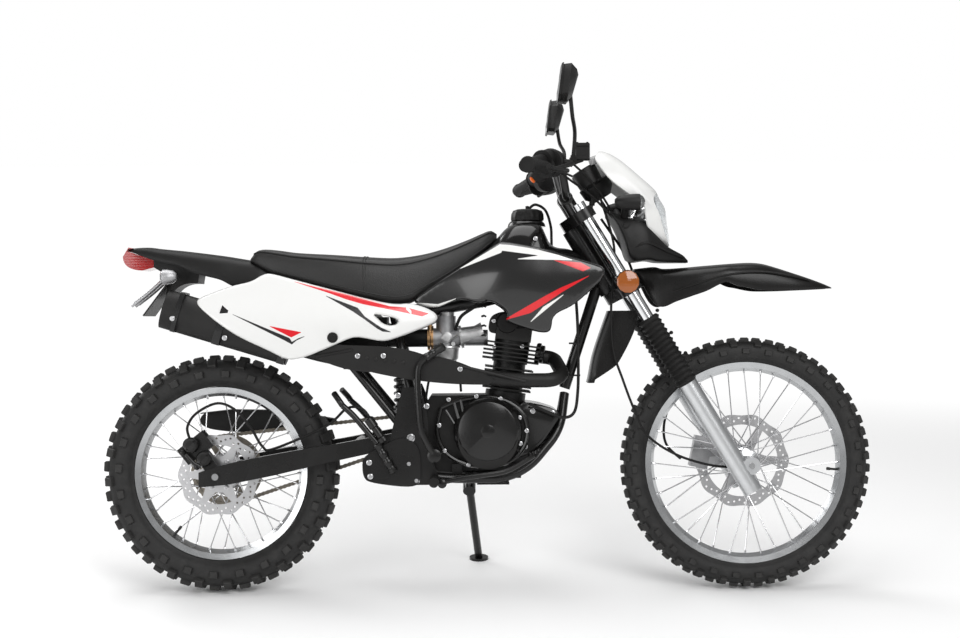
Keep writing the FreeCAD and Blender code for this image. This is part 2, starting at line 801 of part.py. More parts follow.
# front bodywork
cowl_side_shares = [
    [(0.020, 0.887)], [(0.080, 0.997)],
    [(0.180, 0.980), (0.320, 0.920), (0.520, 0.770), (0.700, 0.613)],
    [(0.560, 0.500), (0.540, 0.337)], [(0.400, 0.340)], [(0.260, 0.450)], [(0.120, 0.770)],
]
lens_side_shares = [
    [(0.700, 0.605), (0.788, 0.487), (0.832, 0.340), (0.832, 0.170)], [(0.800, 0.140)],
    [(0.610, 0.300)], [(0.585, 0.480)],
]
chin_side_shares = [
    [(0.800, 0.150)], [(0.980, 0.060)], [(1.028, 0.000)], [(0.700, 0.003)], [(0.480, 0.020)],
    [(0.440, 0.345)], [(0.600, 0.345)],
]


def cowl_form(shares, width):
    return side_form(shares, cowl_rear_x, d.cowl_floor_z, d.cowl_length, d.cowl_height, width)


def cowl_front(width_share):
    # The cowl seen from the front: wide at the lamp, narrowing to a rounded screen.
    front_share = [
        [(-0.5, 0.28), (-0.48, 0.5)],
        [(-0.38, 0.75), (-0.24, 0.92), (0, 1.0), (0.24, 0.92), (0.38, 0.75), (0.48, 0.5)],
        [(0.5, 0.28), (0.42, 0.0)], [(-0.42, 0.0)],
    ]

    def place(u, v):
        return Vector(cowl_rear_x - d.cut_overrun, u * d.cowl_width * width_share,
                      d.cowl_floor_z + v * d.cowl_height)
    return outline(front_share, place).extrude(ahead * (d.cowl_length * 1.2))


cowl = cowl_form(cowl_side_shares, d.cowl_width).common(cowl_front(0.92))
lens = cowl_form(lens_side_shares, d.cowl_width * 0.7).cut(cowl_form(cowl_side_shares, d.cowl_width * 1.1))
chin = cowl_form(chin_side_shares, d.cowl_width * 0.5)
keep("headlight_cowl", cowl)
keep("headlight_lens", lens)
cowl_room = cowl.copy()
cowl_room.translate(Vector(0, 0, -d.seat_clearance))
lens_room = lens.copy()
lens_room.translate(Vector(-d.seat_clearance, 0, -d.seat_clearance))


def lamp_arm(side):
    # A collar round the fork tube with an arm to the lamp's lower shell.
    along = d.lower_clamp_along + (d.upper_clamp_along - d.lower_clamp_along) * 0.62
    centre = fork_place(along, d.fork_offset, side * leg_half)
    collar = ring(centre, fork_upward, d.fork_tube_radius + d.panel_thickness, d.fork_tube_radius + d.axle_clearance,
                  d.clamp_thickness)
    shell_half = d.cowl_width * 0.25
    start = Vector(centre.x + d.fork_tube_radius, min(side * shell_half, side * leg_half), centre.z)
    reach = cowl_rear_x + d.cowl_length * 0.5 - start.x
    arm = Part.makeBox(reach, abs(leg_half - shell_half), d.clamp_thickness * 0.6,
                       start - upward * d.clamp_thickness * 0.3)
    tube = rod(fork_place(along - d.clamp_thickness * 2, d.fork_offset, side * leg_half),
               fork_place(along + d.clamp_thickness * 2, d.fork_offset, side * leg_half),
               d.fork_tube_radius + d.axle_clearance)
    return joined(collar, arm).cut(tube)


keep("headlight_chin", joined(chin.cut([lens, lens_room, cowl, cowl_room]), lamp_arm(-1), lamp_arm(1)))

mudguard_side_shares = [
    [(0.109, 0.903)], [(0.147, 0.855)],
    [(0.353, 0.935), (0.541, 0.984), (0.626, 0.992), (0.729, 0.895), (0.842, 0.702), (0.996, 0.452)],
    [(0.974, 0.403)], [(0.842, 0.379), (0.626, 0.363), (0.541, 0.452)], [(0.453, 0.565)],
    [(0.353, 0.363), (0.241, 0.145), (0.137, 0.016)], [(0.100, 0.081)], [(0.053, 0.403), (0.006, 0.871)],
]
mudguard_plan_shares = [(0.0, 0.30), (0.12, 0.62), (0.35, 0.92), (0.6, 1.0), (0.85, 0.86), (1.0, 0.55)]


def mudguard(width):
    side = side_form(mudguard_side_shares, mudguard_rear_x, d.mudguard_floor_z, d.mudguard_length,
                     d.mudguard_height, width)
    plan = plan_form(mudguard_plan_shares, mudguard_rear_x, d.mudguard_length, width / 2,
                     d.mudguard_floor_z, d.mudguard_height * 2)
    return side.common(plan)


guard = mudguard(d.mudguard_width)
hollow = guard.copy()
hollow.translate(Vector(0, 0, -d.panel_thickness))
inner_plan = plan_form(mudguard_plan_shares, mudguard_rear_x, d.mudguard_length,
                       d.mudguard_width / 2 - d.panel_thickness, d.mudguard_floor_z - d.mudguard_height,
                       d.mudguard_height * 3)
guard_shell = guard.cut(hollow.common(inner_plan))
keep("front_mudguard", guard_shell)
roomy = guard_shell.copy()
roomy.translate(Vector(0, 0, -d.seat_clearance))
seat_bits = mudguard_seat().cut([roomy, guard_shell]).Solids
guard_seat = max(seat_bits, key=lambda solid: solid.Volume)
keep("triple_clamps", joined(clamps.cut(bar_bore), guard_seat))

# frame
head_low = fork_place((d.lower_clamp_along + d.clamp_thickness / 2) + d.seat_clearance)
head_high = fork_place((d.upper_clamp_along - d.clamp_thickness / 2) - d.seat_clearance)
pivot = Vector(d.swingarm_pivot_x, 0, d.swingarm_pivot_z)
down_foot = Vector(d.down_tube_foot_x, 0, d.down_tube_foot_z)
head_length = (head_high - head_low).Length


def head_at(share):
    return head_low + (head_high - head_low) * share


spine_bend = Vector(d.tank_rear_x + d.tank_length / 3, 0, d.tank_floor_z + d.backbone_radius * 2.9)
spine_end = Vector(pivot.x - d.backbone_radius * 1.5, 0, d.tank_floor_z + d.backbone_radius / 2)


shock_top = Vector(pivot.x - d.cradle_tube_radius, 0, pivot.z + d.shock_length)
yoke = spine_end - ahead * (d.cradle_tube_radius + d.seat_clearance * 5)
yoke_half = d.backbone_radius * 2
spine_path = [head_at(0.6), spine_bend, spine_end]


def upper_frame_leg(side):
    # From the yoke behind the spine down and out to the top of the swing arm's plate.
    plate_top = Vector(pivot.x + d.cradle_tube_radius * 0.4,
                       side * (d.pivot_plate_half - d.cradle_tube_radius - d.seat_clearance),
                       d.cradle_floor_z + d.pivot_plate_width * 2.3)
    return rod(yoke + across * side * yoke_half, plate_top, d.cradle_tube_radius)


def frame_backbone():
    # The head tube, the spine, the down tube, and the yoke with its two legs and the shock's cross tube.
    tube = rod(head_low, head_high, d.head_tube_radius)
    bore = rod(head_low - fork_upward * d.cut_overrun, head_high + fork_upward * d.cut_overrun,
               d.stem_radius + d.seat_clearance)
    spine = bent_tube(spine_path, d.backbone_radius)
    down = rod(head_at(0.25), down_foot, d.down_tube_radius)
    behind = rod(spine_end, yoke, d.cradle_tube_radius)
    crossing = rod(yoke - across * yoke_half, yoke + across * yoke_half, d.cradle_tube_radius * 1.1)
    shock_reach = across * (d.pivot_plate_half - d.cradle_tube_radius * 2.4)
    shock_tube = rod(shock_top - shock_reach, shock_top + shock_reach, d.cradle_tube_radius * 0.9)
    legs = [upper_frame_leg(side) for side in sides]
    return joined(tube, spine, down, behind, crossing, shock_tube, *legs).cut(bore)


keep("frame_backbone", frame_backbone())


def cradle_loop(side):
    # From the down tube's foot, under the engine and out to the swing arm's plate.
    y = side * d.cradle_half_width
    plate_y = side * (d.pivot_plate_half - d.cradle_tube_radius / 2)
    start = down_foot - upward * (d.down_tube_radius + d.seat_clearance)
    rise = d.pivot_plate_width
    points = [start,
              Vector(start.x - d.down_tube_radius, y * 0.5, start.z - rise),
              Vector(start.x - rise * 1.3, y, d.cradle_floor_z),
              Vector(pivot.x + rise * 1.1, y, d.cradle_floor_z),
              Vector(pivot.x + rise * 0.2, plate_y, d.cradle_floor_z + d.cradle_tube_radius)]
    return bent_tube(points, d.cradle_tube_radius)


def pivot_plate(side):
    # The forged plate that carries the swing arm's pivot, the peg and the rear struts.
    plate_shares = [
        [(0.30, 1.0)], [(0.75, 1.0)], [(1.0, 0.62), (0.95, 0.40)], [(1.35, 0.02)], [(1.0, 0.0)],
        [(0.2, 0.0)], [(-0.05, 0.25), (0.0, 0.55)],
    ]
    y = side * (d.pivot_plate_half + d.pivot_plate_thickness / 2)
    height = d.pivot_plate_width * 2.7
    plate = side_form(plate_shares, pivot.x - d.pivot_plate_width * 0.5, d.cradle_floor_z - d.cradle_tube_radius,
                      d.pivot_plate_width, height, d.pivot_plate_thickness, y)
    bore = rod(Vector(pivot.x, y - d.pivot_plate_thickness, pivot.z),
               Vector(pivot.x, y + d.pivot_plate_thickness, pivot.z), d.pivot_bolt_radius + d.axle_clearance)
    return plate.cut(bore)


def engine_lug(side, x, z, rise):
    # A plate from the lower rail to the side of the crankcase.
    inner = d.crankcase_width / 2 + d.seat_clearance
    width = d.cradle_half_width - inner
    low = Vector(x - d.cradle_tube_radius, inner, z)
    if side < 0:
        low.y = -d.cradle_half_width
    return Part.makeBox(d.cradle_tube_radius * 2, width, rise, low)


stand_pivot = Vector(d.stand_pivot_x, d.stand_pivot_y, d.stand_pivot_z)
foot_height = d.stand_foot_y * floor_slope + tyre_low / math.cos(math.radians(d.lean_angle))
stand_foot = Vector(d.stand_pivot_x + d.stand_foot_advance, d.stand_foot_y, foot_height)
stand_run = stand_foot - stand_pivot
stand_axis = Vector(0, -stand_run.z, stand_run.y).normalize()
floor_normal = Vector(0, -math.sin(math.radians(d.lean_angle)), math.cos(math.radians(d.lean_angle)))


def stand_bracket():
    # The lug below the left frame rail, with the bolt that the stand turns on.
    eye_half = d.stand_leg_radius
    bolt_radius = d.pivot_bolt_radius * 0.75
    inner = stand_pivot - stand_axis * (eye_half + d.seat_clearance)
    back = inner - stand_axis * d.pivot_plate_thickness
    outer = stand_pivot + stand_axis * (eye_half + d.seat_clearance)
    lug = rod(back, inner, d.stand_leg_radius * 1.6)
    bolt = rod(inner, outer, bolt_radius)
    head = rod(outer, outer + stand_axis * d.pivot_plate_thickness / 2, bolt_radius * 1.7)
    rail = Vector(stand_pivot.x, d.cradle_half_width, d.cradle_floor_z)
    up_plate = Vector(0, -stand_axis.z, stand_axis.y)
    arm_end = (back + inner) / 2 + up_plate * d.stand_leg_radius * 3
    arm = rod((back + inner) / 2, arm_end, d.pivot_plate_thickness / 2)
    hanger = Part.makeBox(d.stand_leg_radius * 2, d.cradle_half_width - d.cradle_tube_radius / 2 - arm_end.y,
                          rail.z - arm_end.z + d.pivot_plate_thickness / 2,
                          Vector(back.x - d.stand_leg_radius, arm_end.y, arm_end.z - d.pivot_plate_thickness / 2))
    return joined(lug, bolt, head, arm, hanger)


lug_places = (d.crankcase_rear_x + d.crankcase_length * 0.3, d.crankcase_rear_x + d.crankcase_length * 0.85)
lugs = [engine_lug(side, x, d.cradle_floor_z, d.cradle_tube_radius * 3) for side in sides for x in lug_places]
keep("frame_cradle", joined(*[form(side) for side in sides for form in (cradle_loop, pivot_plate)], *lugs,
                            stand_bracket()))


# rear frame and swing arm


def subframe_rail():
    # The left rail's points, from the yoke to the tail.
    y = d.subframe_half_width
    r = d.subframe_tube_radius
    return [Vector(spine_end.x - r * 2.4, y * 0.76, d.seat_floor_z - r * 1.3),
            Vector(d.seat_rear_x + d.seat_length * 0.35, y, d.seat_floor_z + d.seat_height * 0.15 - r),
            Vector(d.seat_rear_x - r * 4, y * 0.8, d.tail_floor_z + r * 2)]


def rear_subframe():
    # Two rails under the seat, two struts below them, and cross tubes.
    r = d.subframe_tube_radius
    front, middle, tail = subframe_rail()
    rail = bent_tube([front, middle, tail], r)
    foot = Vector(pivot.x - d.pivot_plate_width * 0.28, d.pivot_plate_half - r - d.seat_clearance, pivot.z + r * 3)
    brace_top = middle + (tail - middle) * 0.45
    strut = rod(foot, brace_top, r)
    bars = [rod(point - across * point.y * 2, point, r * 0.9)
            for point in (front + (middle - front) * 0.12, tail + (middle - tail) * 0.35)]
    return joined(rail, mirrored(rail), strut, mirrored(strut), *bars)


keep("rear_subframe", rear_subframe())


def swing_arm_beam(side):
    # A box beam from the pivot boss back to the slotted axle plate.
    middle = side * (d.swingarm_gap / 2 + d.swingarm_wall / 2)
    length = pivot.x - rear_axle.x
    boss_share = d.swingarm_boss_radius / length
    end_share = d.swingarm_overhang / length
    half_share = d.swingarm_depth / 2 / length
    beam_shares = [
        [(1, boss_share)], [(1 + boss_share, 0), (1, -boss_share)],
        [(0.62, -half_share * 0.8), (0.3, -half_share)], [(0.06, -half_share)], [(-end_share, -half_share * 0.7)],
        [(-end_share, half_share * 0.7)], [(0.06, half_share)], [(0.3, half_share), (0.62, half_share * 0.8)],
    ]
    slope = (pivot.z - rear_axle.z) / length

    def place(u, v):
        return Vector(rear_axle.x + u * length, middle - d.swingarm_wall / 2,
                      rear_axle.z + u * length * slope + v * length)
    return outline(beam_shares, place).extrude(across * d.swingarm_wall)


def swing_arm():
    half = d.swingarm_gap / 2
    beams = [swing_arm_beam(side) for side in sides]
    pivot_tube = rod(pivot - across * half, pivot + across * half, d.swingarm_boss_radius)
    ahead_of_tyre = rear_axle.x + d.rear_tyre_radius + d.swingarm_depth
    slope = (pivot.z - rear_axle.z) / (pivot.x - rear_axle.x)
    bridge_at = Vector(ahead_of_tyre, 0, rear_axle.z + (ahead_of_tyre - rear_axle.x) * slope)
    bridge = rod(bridge_at - across * half, bridge_at + across * half, d.swingarm_boss_radius)
    reach = half + d.swingarm_wall + d.cut_overrun
    axle_bore = rod(rear_axle - across * reach, rear_axle + across * reach, d.rear_axle_radius + d.axle_clearance)
    pivot_bore = rod(pivot - across * reach, pivot + across * reach, d.pivot_bolt_radius + d.axle_clearance)
    return joined(*beams, pivot_tube, bridge).cut([axle_bore, pivot_bore])


keep("swing_arm", swing_arm())
pivot_reach = d.pivot_plate_half + d.pivot_plate_thickness * 1.5
pivot_bolt = rod(pivot - across * pivot_reach, pivot + across * pivot_reach, d.pivot_bolt_radius)


def wheel_axle(centre, radius, reach, spacers):
    # The spindle with the spacers that stand between the wheel and what carries it.
    axle = rod(centre - across * reach, centre + across * reach, radius)
    sleeves = [rod(centre + across * start, centre + across * end, radius * 1.6) for start, end in spacers]
    return joined(axle, *sleeves)


leg_inner = leg_half - d.fork_slider_radius * 0.8
front_spacers = ((front_disc_side + d.disc_thickness / 2 + d.seat_clearance, leg_inner - d.seat_clearance),
                 (-d.front_hub_width / 2 - d.seat_clearance, -leg_inner + d.seat_clearance))
keep("front_axle", wheel_axle(front_axle, d.front_axle_radius, leg_half + d.fork_slider_radius, front_spacers))
arm_inner = d.swingarm_gap / 2
rear_spacers = ((d.chain_offset + d.sprocket_thickness / 2 + d.seat_clearance, arm_inner - d.seat_clearance),
                (-rear_disc_side - d.disc_thickness / 2 - d.seat_clearance, -arm_inner + d.seat_clearance))
rear_spindle = wheel_axle(rear_axle, d.rear_axle_radius, arm_inner + d.swingarm_wall + d.rear_axle_radius * 1.5,
                          rear_spacers)
keep("rear_spindles", grouped(rear_spindle, pivot_bolt))

# side stand


def side_stand():
    # A leg with an eye at its pivot and a round foot that lies flat on the floor.
    foot_low = stand_foot
    foot = rod(foot_low, foot_low + floor_normal * d.stand_foot_thickness, d.stand_foot_radius)
    leg = rod(stand_foot + floor_normal * d.stand_foot_thickness / 2, stand_pivot, d.stand_leg_radius)
    eye_half = d.stand_leg_radius
    eye = rod(stand_pivot - stand_axis * eye_half, stand_pivot + stand_axis * eye_half, d.stand_leg_radius * 1.6)
    bore = rod(stand_pivot - stand_axis * eye_half * 2, stand_pivot + stand_axis * eye_half * 2,
               d.pivot_bolt_radius * 0.75 + d.axle_clearance)
    floor_cut = Part.makeCylinder(d.stand_foot_radius * 2, d.stand_foot_radius * 2,
                                  foot_low - floor_normal * d.stand_foot_radius * 2, floor_normal)
    return joined(foot, leg, eye).cut([bore, floor_cut])


keep("side_stand", side_stand())


# engine


def crankcase():
    # The cases with a round cover on each side.
    length = d.crankcase_length
    case_shares = [
        [(0.0, 0.86), (0.06, 1.0)], [(0.72, 1.0)], [(0.92, 0.82), (1.0, 0.55)], [(0.98, 0.25), (0.84, 0.02)],
        [(0.12, 0.0)], [(0.0, 0.2)],
    ]
    case = side_form(case_shares, d.crankcase_rear_x, d.crankcase_floor_z, length, d.crankcase_height,
                     d.crankcase_width)
    half = d.crankcase_width / 2
    centre = Vector(d.clutch_cover_x, 0, d.clutch_cover_z)
    right = rod(centre - across * half, centre - across * (half + d.cover_depth), d.clutch_cover_radius)
    generator = centre + Vector(d.clutch_cover_radius * 0.5, 0, 0)
    left = rod(generator + across * half, generator + across * (half + d.cover_depth * 0.7),
               d.clutch_cover_radius * 0.8)
    deck = Part.makeCylinder(d.cylinder_radius * 1.25, d.fin_pitch * 3, Vector(0, 0, -d.fin_pitch * 3))
    return joined(case, right, left, on_barrel(deck))


barrel_foot = Vector(d.cylinder_x, 0, d.crankcase_floor_z + d.crankcase_height + d.fin_pitch * 0.7)


def on_barrel(shape):
    # Turns a form from the cylinder's own upright frame to its place on the cases.
    shape.rotate(Vector(0, 0, 0), across, d.cylinder_tilt_angle)
    shape.translate(barrel_foot)
    return shape


keep("crankcase", crankcase())


def finned_block(low, height, length, width, core_radius):
    # A round core with square fins stacked along it.
    fins = [Part.makeCylinder(core_radius, height, Vector(0, 0, low))]
    count = int((height - d.fin_thickness) / d.fin_pitch)
    for index in range(count):
        base = low + d.fin_pitch / 2 + index * d.fin_pitch
        fin = Part.makeBox(length, width, d.fin_thickness, Vector(-length / 2, -width / 2, base))
        fins.append(fin)
    return joined(*fins)


barrel_low = d.seat_clearance
barrel = finned_block(barrel_low, d.cylinder_length - barrel_low, d.fin_length * 0.86, d.fin_width, d.cylinder_radius)
keep("cylinder_barrel", on_barrel(barrel))
head_base = d.cylinder_length + d.seat_clearance
head = finned_block(head_base, d.head_height, d.fin_length, d.fin_width * 1.04, d.cylinder_radius * 1.1)
cover = Part.makeBox(d.head_cover_length, d.fin_width * 0.9, d.head_cover_height,
                     Vector(-d.head_cover_length / 2, -d.fin_width * 0.45, head_base + d.head_height))
head_form = on_barrel(joined(head, cover))
keep("cylinder_head", head_form)

# intake
carb_centre = Vector(d.carburettor_x, 0, d.carburettor_z)
carb = rod(carb_centre - ahead * d.carburettor_length / 2, carb_centre + ahead * d.carburettor_length / 2,
           d.carburettor_radius)
slide_top = rod(carb_centre, carb_centre + upward * d.carburettor_length * 0.85, d.carburettor_radius)
bowl = rod(carb_centre, carb_centre - upward * (d.carburettor_radius + d.float_bowl_height * 0.6),
           d.carburettor_radius * 0.9)
manifold = rod(carb_centre, carb_centre + ahead * d.carburettor_length * 2, d.carburettor_radius * 0.8)
head_gap = head_form.copy()
head_gap.translate(ahead * -d.seat_clearance)
beyond = Part.makeBox(d.carburettor_length * 2, d.fin_width, d.carburettor_length * 2,
                      Vector(d.cylinder_x - d.head_cover_length / 2, -d.fin_width / 2,
                             d.carburettor_z - d.carburettor_length))
keep("carburettor", joined(carb, slide_top, bowl, manifold.cut([head_gap, head_form, beyond])))
air_box = Part.makeBox(d.air_box_length, d.air_box_width, d.air_box_height,
                       Vector(d.air_box_rear_x, -d.air_box_width / 2, d.air_box_floor_z))
boot_start = Vector(d.air_box_rear_x + d.air_box_length, 0, d.carburettor_z)
boot = rod(boot_start, carb_centre - ahead * (d.carburettor_length / 2 + d.seat_clearance), d.carburettor_radius * 0.9)
keep("air_box", joined(air_box, boot))

# exhaust


def exhaust_pipe():
    # Out of the head, down and round under the cover, then back along the right side.
    face = Vector(d.fin_length / 2 + d.seat_clearance, 0, head_base + d.head_height * 0.45)
    port = barrel_foot + Rotation(across, d.cylinder_tilt_angle).multVec(face)
    outward = Rotation(across, d.cylinder_tilt_angle).multVec(ahead)
    y = -d.exhaust_offset
    r = d.exhaust_pipe_radius
    slope = math.radians(d.silencer_slope_angle)
    can_axis = Vector(-math.cos(slope), 0, math.sin(slope))
    joint = Vector(d.silencer_front_x, -d.silencer_offset, d.silencer_front_z)
    points = [port, port + outward * r * 2.2,
              Vector(port.x + r * 3.6, y, port.z - r * 3.2),
              Vector(port.x - r * 3, y - r * 0.3, port.z - r * 3.2),
              Vector(joint.x + (port.x - joint.x) * 0.45, y - r * 0.5, joint.z - r * 3.5),
              joint - can_axis * r * 4, joint]
    return bent_tube(points, r)


keep("exhaust_pipe", exhaust_pipe())


def silencer():
    # An oval can that rises to the rear, with straps and a stepped end.
    half_h = d.silencer_height / 2
    half_w = d.silencer_width / 2
    section = Part.Ellipse(Vector(0, 0, 0), half_h, half_w).toShape()
    wire = Part.Wire([section])
    wire.rotate(Vector(0, 0, 0), across, 90)
    can = Part.Face(wire).extrude(ahead * -d.silencer_length)
    can.rotate(Vector(0, 0, 0), across, d.silencer_slope_angle)
    slope = math.radians(d.silencer_slope_angle)
    gap = Vector(-math.cos(slope), 0, math.sin(slope)) * d.seat_clearance
    can.translate(Vector(d.silencer_front_x, -d.silencer_offset, d.silencer_front_z) + gap)
    return can


keep("silencer", silencer())


def heat_shield():
    # A long plate outboard of the pipe.
    shield_shares = [
        [(0.03, 1.0)], [(0.18, 0.92), (0.45, 0.86), (0.62, 0.70)], [(0.85, 0.45), (1.0, 0.1)], [(0.97, 0.0)],
        [(0.7, 0.05), (0.35, 0.3)], [(0.1, 0.55), (0.0, 0.8)],
    ]
    y = -d.exhaust_offset - d.exhaust_pipe_radius * 1.45 - d.heat_shield_thickness / 2 - d.seat_clearance
    rear = d.silencer_front_x + d.seat_clearance
    return side_form(shield_shares, rear + d.silencer_width / 2, d.silencer_front_z - d.silencer_height,
                     d.heat_shield_length, d.heat_shield_height * 1.3, d.heat_shield_thickness, y)


keep("heat_shield", heat_shield())

# tank, seat and panels
tank_side_shares = [
    [(0.324, 0.931), (0.378, 0.985), (0.459, 0.996), (0.535, 0.992)],
    [(0.581, 0.942), (0.622, 0.788), (0.676, 0.723)], [(0.784, 0.788), (0.946, 0.750)],
    [(1.005, 0.615), (1.000, 0.288)], [(0.784, 0.150)], [(0.189, 0.150)], [(0.000, 0.192)],
    [(-0.027, 0.481)], [(0.081, 0.635), (0.189, 0.750), (0.249, 0.827)],
]
tank_plan_shares = [(-0.04, 0.35), (0.2, 0.66), (0.45, 0.92), (0.7, 1.0), (1.02, 0.72)]


def fuel_tank():
    side = side_form(tank_side_shares, d.tank_rear_x, d.tank_floor_z, d.tank_length, d.tank_height, d.tank_width)
    plan = plan_form(tank_plan_shares, d.tank_rear_x, d.tank_length, d.tank_width / 2, d.tank_floor_z,
                     d.tank_height * 1.2)
    form = side.common(plan)
    roof = spine_bend.z + d.backbone_radius * 1.4
    tunnel = Part.makeBox(d.tank_length * 2, d.backbone_radius * 2.6, roof - d.tank_floor_z + d.cut_overrun,
                          Vector(d.tank_rear_x - d.tank_length / 2, -d.backbone_radius * 1.3,
                                 d.tank_floor_z - d.cut_overrun))
    spine_run = head_at(0.6) - spine_bend
    spine_gap = rod(spine_bend - spine_run * 0.2, spine_bend + spine_run * 1.2, d.backbone_radius + d.seat_clearance)
    swing = math.hypot(d.fork_offset, leg_half) + d.fork_tube_radius + d.clamp_wall * 1.5
    head_gap = rod(fork_place(d.lower_clamp_along / 2), head_high + fork_upward * d.tank_height, swing)
    head_gap = head_gap.cut(Part.makeBox(d.tank_length, d.tank_width * 2, d.tank_height * 4,
                                         Vector(head_low.x - d.tank_length * 1.42, -d.tank_width, d.tank_floor_z / 2)))
    bend_gap = bent_tube(spine_path, d.backbone_radius + d.seat_clearance)
    return form.cut([tunnel, spine_gap, bend_gap, head_gap])


tank_form = fuel_tank()
keep("fuel_tank", tank_form)
cap_low = d.tank_floor_z + d.tank_height * 0.998
keep("fuel_cap", rod(Vector(d.fuel_cap_x, 0, cap_low), Vector(d.fuel_cap_x, 0, cap_low + d.fuel_cap_height),
                     d.fuel_cap_radius))
shroud_side_shares = [
    [(0.135, 0.271), (0.261, 0.388)], [(0.357, 0.312), (0.415, 0.367), (0.492, 0.263)],
    [(0.504, 0.200), (0.492, 0.129)], [(0.647, 0.013)], [(0.720, 0.013), (0.724, 0.179)],
    [(0.840, 0.304), (0.994, 0.492)], [(1.000, 0.637)], [(0.956, 0.867), (0.840, 0.950)],
    [(0.666, 0.940), (0.473, 0.860), (0.261, 0.688)], [(0.145, 0.492), (0.010, 0.346)],
]


def panel_sheet(stations, rear, floor, length, height, half_width):
    # A thin sheet whose section changes along the machine: each station gives the
    # (half width, height) shares of its outer face, from the top down.
    wires = []
    for along, face in stations:
        outer = [Vector(rear + along * length, -y * half_width, floor + z * height) for y, z in face]
        inner = [point + across * d.panel_thickness for point in reversed(outer)]
        wires.append(Part.makePolygon(outer + inner + outer[:1]))
    return Part.makeLoft(wires, True, True)


def panel_boss(start, rooms, sheet_form, skin):
    # A boss from what carries a right-hand panel out to the panel's inner face.
    outside = sheet_form.copy()
    outside.translate(across * -d.panel_thickness)
    boss = rod(start, start - across * d.side_panel_half_width, d.peg_radius * 0.5)
    parts = boss.cut(rooms + [outside]).Solids
    return max((part for part in parts if part.distToShape(skin)[0] < d.seat_clearance),
               key=lambda part: part.Volume)


def tank_shroud():
    side = side_form(shroud_side_shares, d.shroud_rear_x, d.shroud_floor_z, d.shroud_length, d.shroud_height,
                     d.tank_width * 1.6)
    station_shares = [
        (-0.02, [(0.60, 1.1), (0.72, 0.5), (0.66, -0.05)]), (0.30, [(0.80, 1.1), (1.02, 0.6), (0.84, -0.05)]),
        (0.62, [(1.06, 1.1), (1.18, 0.62), (1.02, -0.05)]), (1.02, [(1.08, 1.1), (1.18, 0.62), (1.08, -0.05)]),
    ]
    sheet_form = panel_sheet(station_shares, d.shroud_rear_x, d.shroud_floor_z, d.shroud_length, d.shroud_height,
                             d.tank_width / 2)
    skin = side.common(sheet_form)
    tank_room = tank_form.copy()
    tank_room.translate(across * -d.seat_clearance)
    bosses = []
    for along_share, up_share in ((0.46, 0.38), (0.74, 0.56)):
        start = Vector(d.shroud_rear_x + along_share * d.shroud_length, 0, d.shroud_floor_z + up_share * d.shroud_height)
        bosses.append(panel_boss(start - across * d.tank_width * 0.2, [tank_form, tank_room], sheet_form, skin))
    return joined(skin, *bosses)


shroud = tank_shroud()
keep("tank_shrouds", grouped(shroud, mirrored(shroud)))
seat_side_shares = [
    [(0.034, 0.738)],
    [(0.189, 0.689), (0.488, 0.631), (0.593, 0.621), (0.698, 0.665), (0.787, 0.743), (0.877, 0.850),
     (0.952, 0.961)],
    [(0.982, 0.976), (1.000, 0.874)], [(0.967, 0.777), (0.860, 0.470)], [(0.698, 0.121), (0.638, 0.010)],
    [(0.563, 0.000)], [(0.338, 0.180), (0.099, 0.398)], [(0.009, 0.558)], [(0.000, 0.607)],
]
seat_plan_shares = [(0.0, 0.66), (0.2, 0.9), (0.4, 1.0), (0.62, 0.86), (0.82, 0.56), (1.0, 0.40)]


def seat():
    side = side_form(seat_side_shares, d.seat_rear_x, d.seat_floor_z, d.seat_length, d.seat_height, d.seat_width)
    plan = plan_form(seat_plan_shares, d.seat_rear_x, d.seat_length, d.seat_width / 2, d.seat_floor_z - d.cut_overrun,
                     d.seat_height * 1.2)
    return side.common(plan)


seat_body = seat()
seat_body = seat_body.cut(tank_form)
keep("seat", seat_body)
panel_side_shares = [
    [(0.810, 0.216)], [(0.763, 0.203), (0.685, 0.250)], [(0.646, 0.259)],
    [(0.561, 0.151), (0.467, 0.043), (0.405, 0.009), (0.343, 0.065)],
    [(0.187, 0.259), (0.093, 0.431), (0.008, 0.668)], [(0.031, 0.724)], [(0.156, 0.853), (0.249, 0.905)],
    [(0.273, 0.983), (0.296, 0.996)], [(0.405, 0.905), (0.561, 0.784), (0.794, 0.625)], [(0.872, 0.634)],
    [(0.950, 0.582), (1.000, 0.474)],
]


def side_panel():
    side = side_form(panel_side_shares, d.side_panel_rear_x, d.side_panel_floor_z, d.side_panel_length,
                     d.side_panel_height, d.side_panel_half_width * 3)
    station_shares = [
        (-0.02, [(0.74, 1.1), (1.04, 0.5), (1.08, -0.1)]), (0.36, [(0.74, 1.1), (1.02, 0.5), (1.06, -0.1)]),
        (0.72, [(0.72, 1.1), (0.92, 0.5), (0.96, -0.1)]), (1.02, [(0.66, 1.1), (0.74, 0.5), (0.76, -0.1)]),
    ]
    sheet_form = panel_sheet(station_shares, d.side_panel_rear_x, d.side_panel_floor_z, d.side_panel_length,
                             d.side_panel_height, d.side_panel_half_width)
    skin = side.common(sheet_form)
    front, middle, tail = subframe_rail()
    rail_room = mirrored(bent_tube([front, middle, tail], d.subframe_tube_radius + d.seat_clearance))
    bosses = []
    for start, end, share in ((front, middle, 0.25), (middle, tail, 0.6)):
        on_rail = start + (end - start) * share
        on_rail.y = -on_rail.y
        bosses.append(panel_boss(on_rail, [rail_room], sheet_form, skin))
    return joined(skin, *bosses)


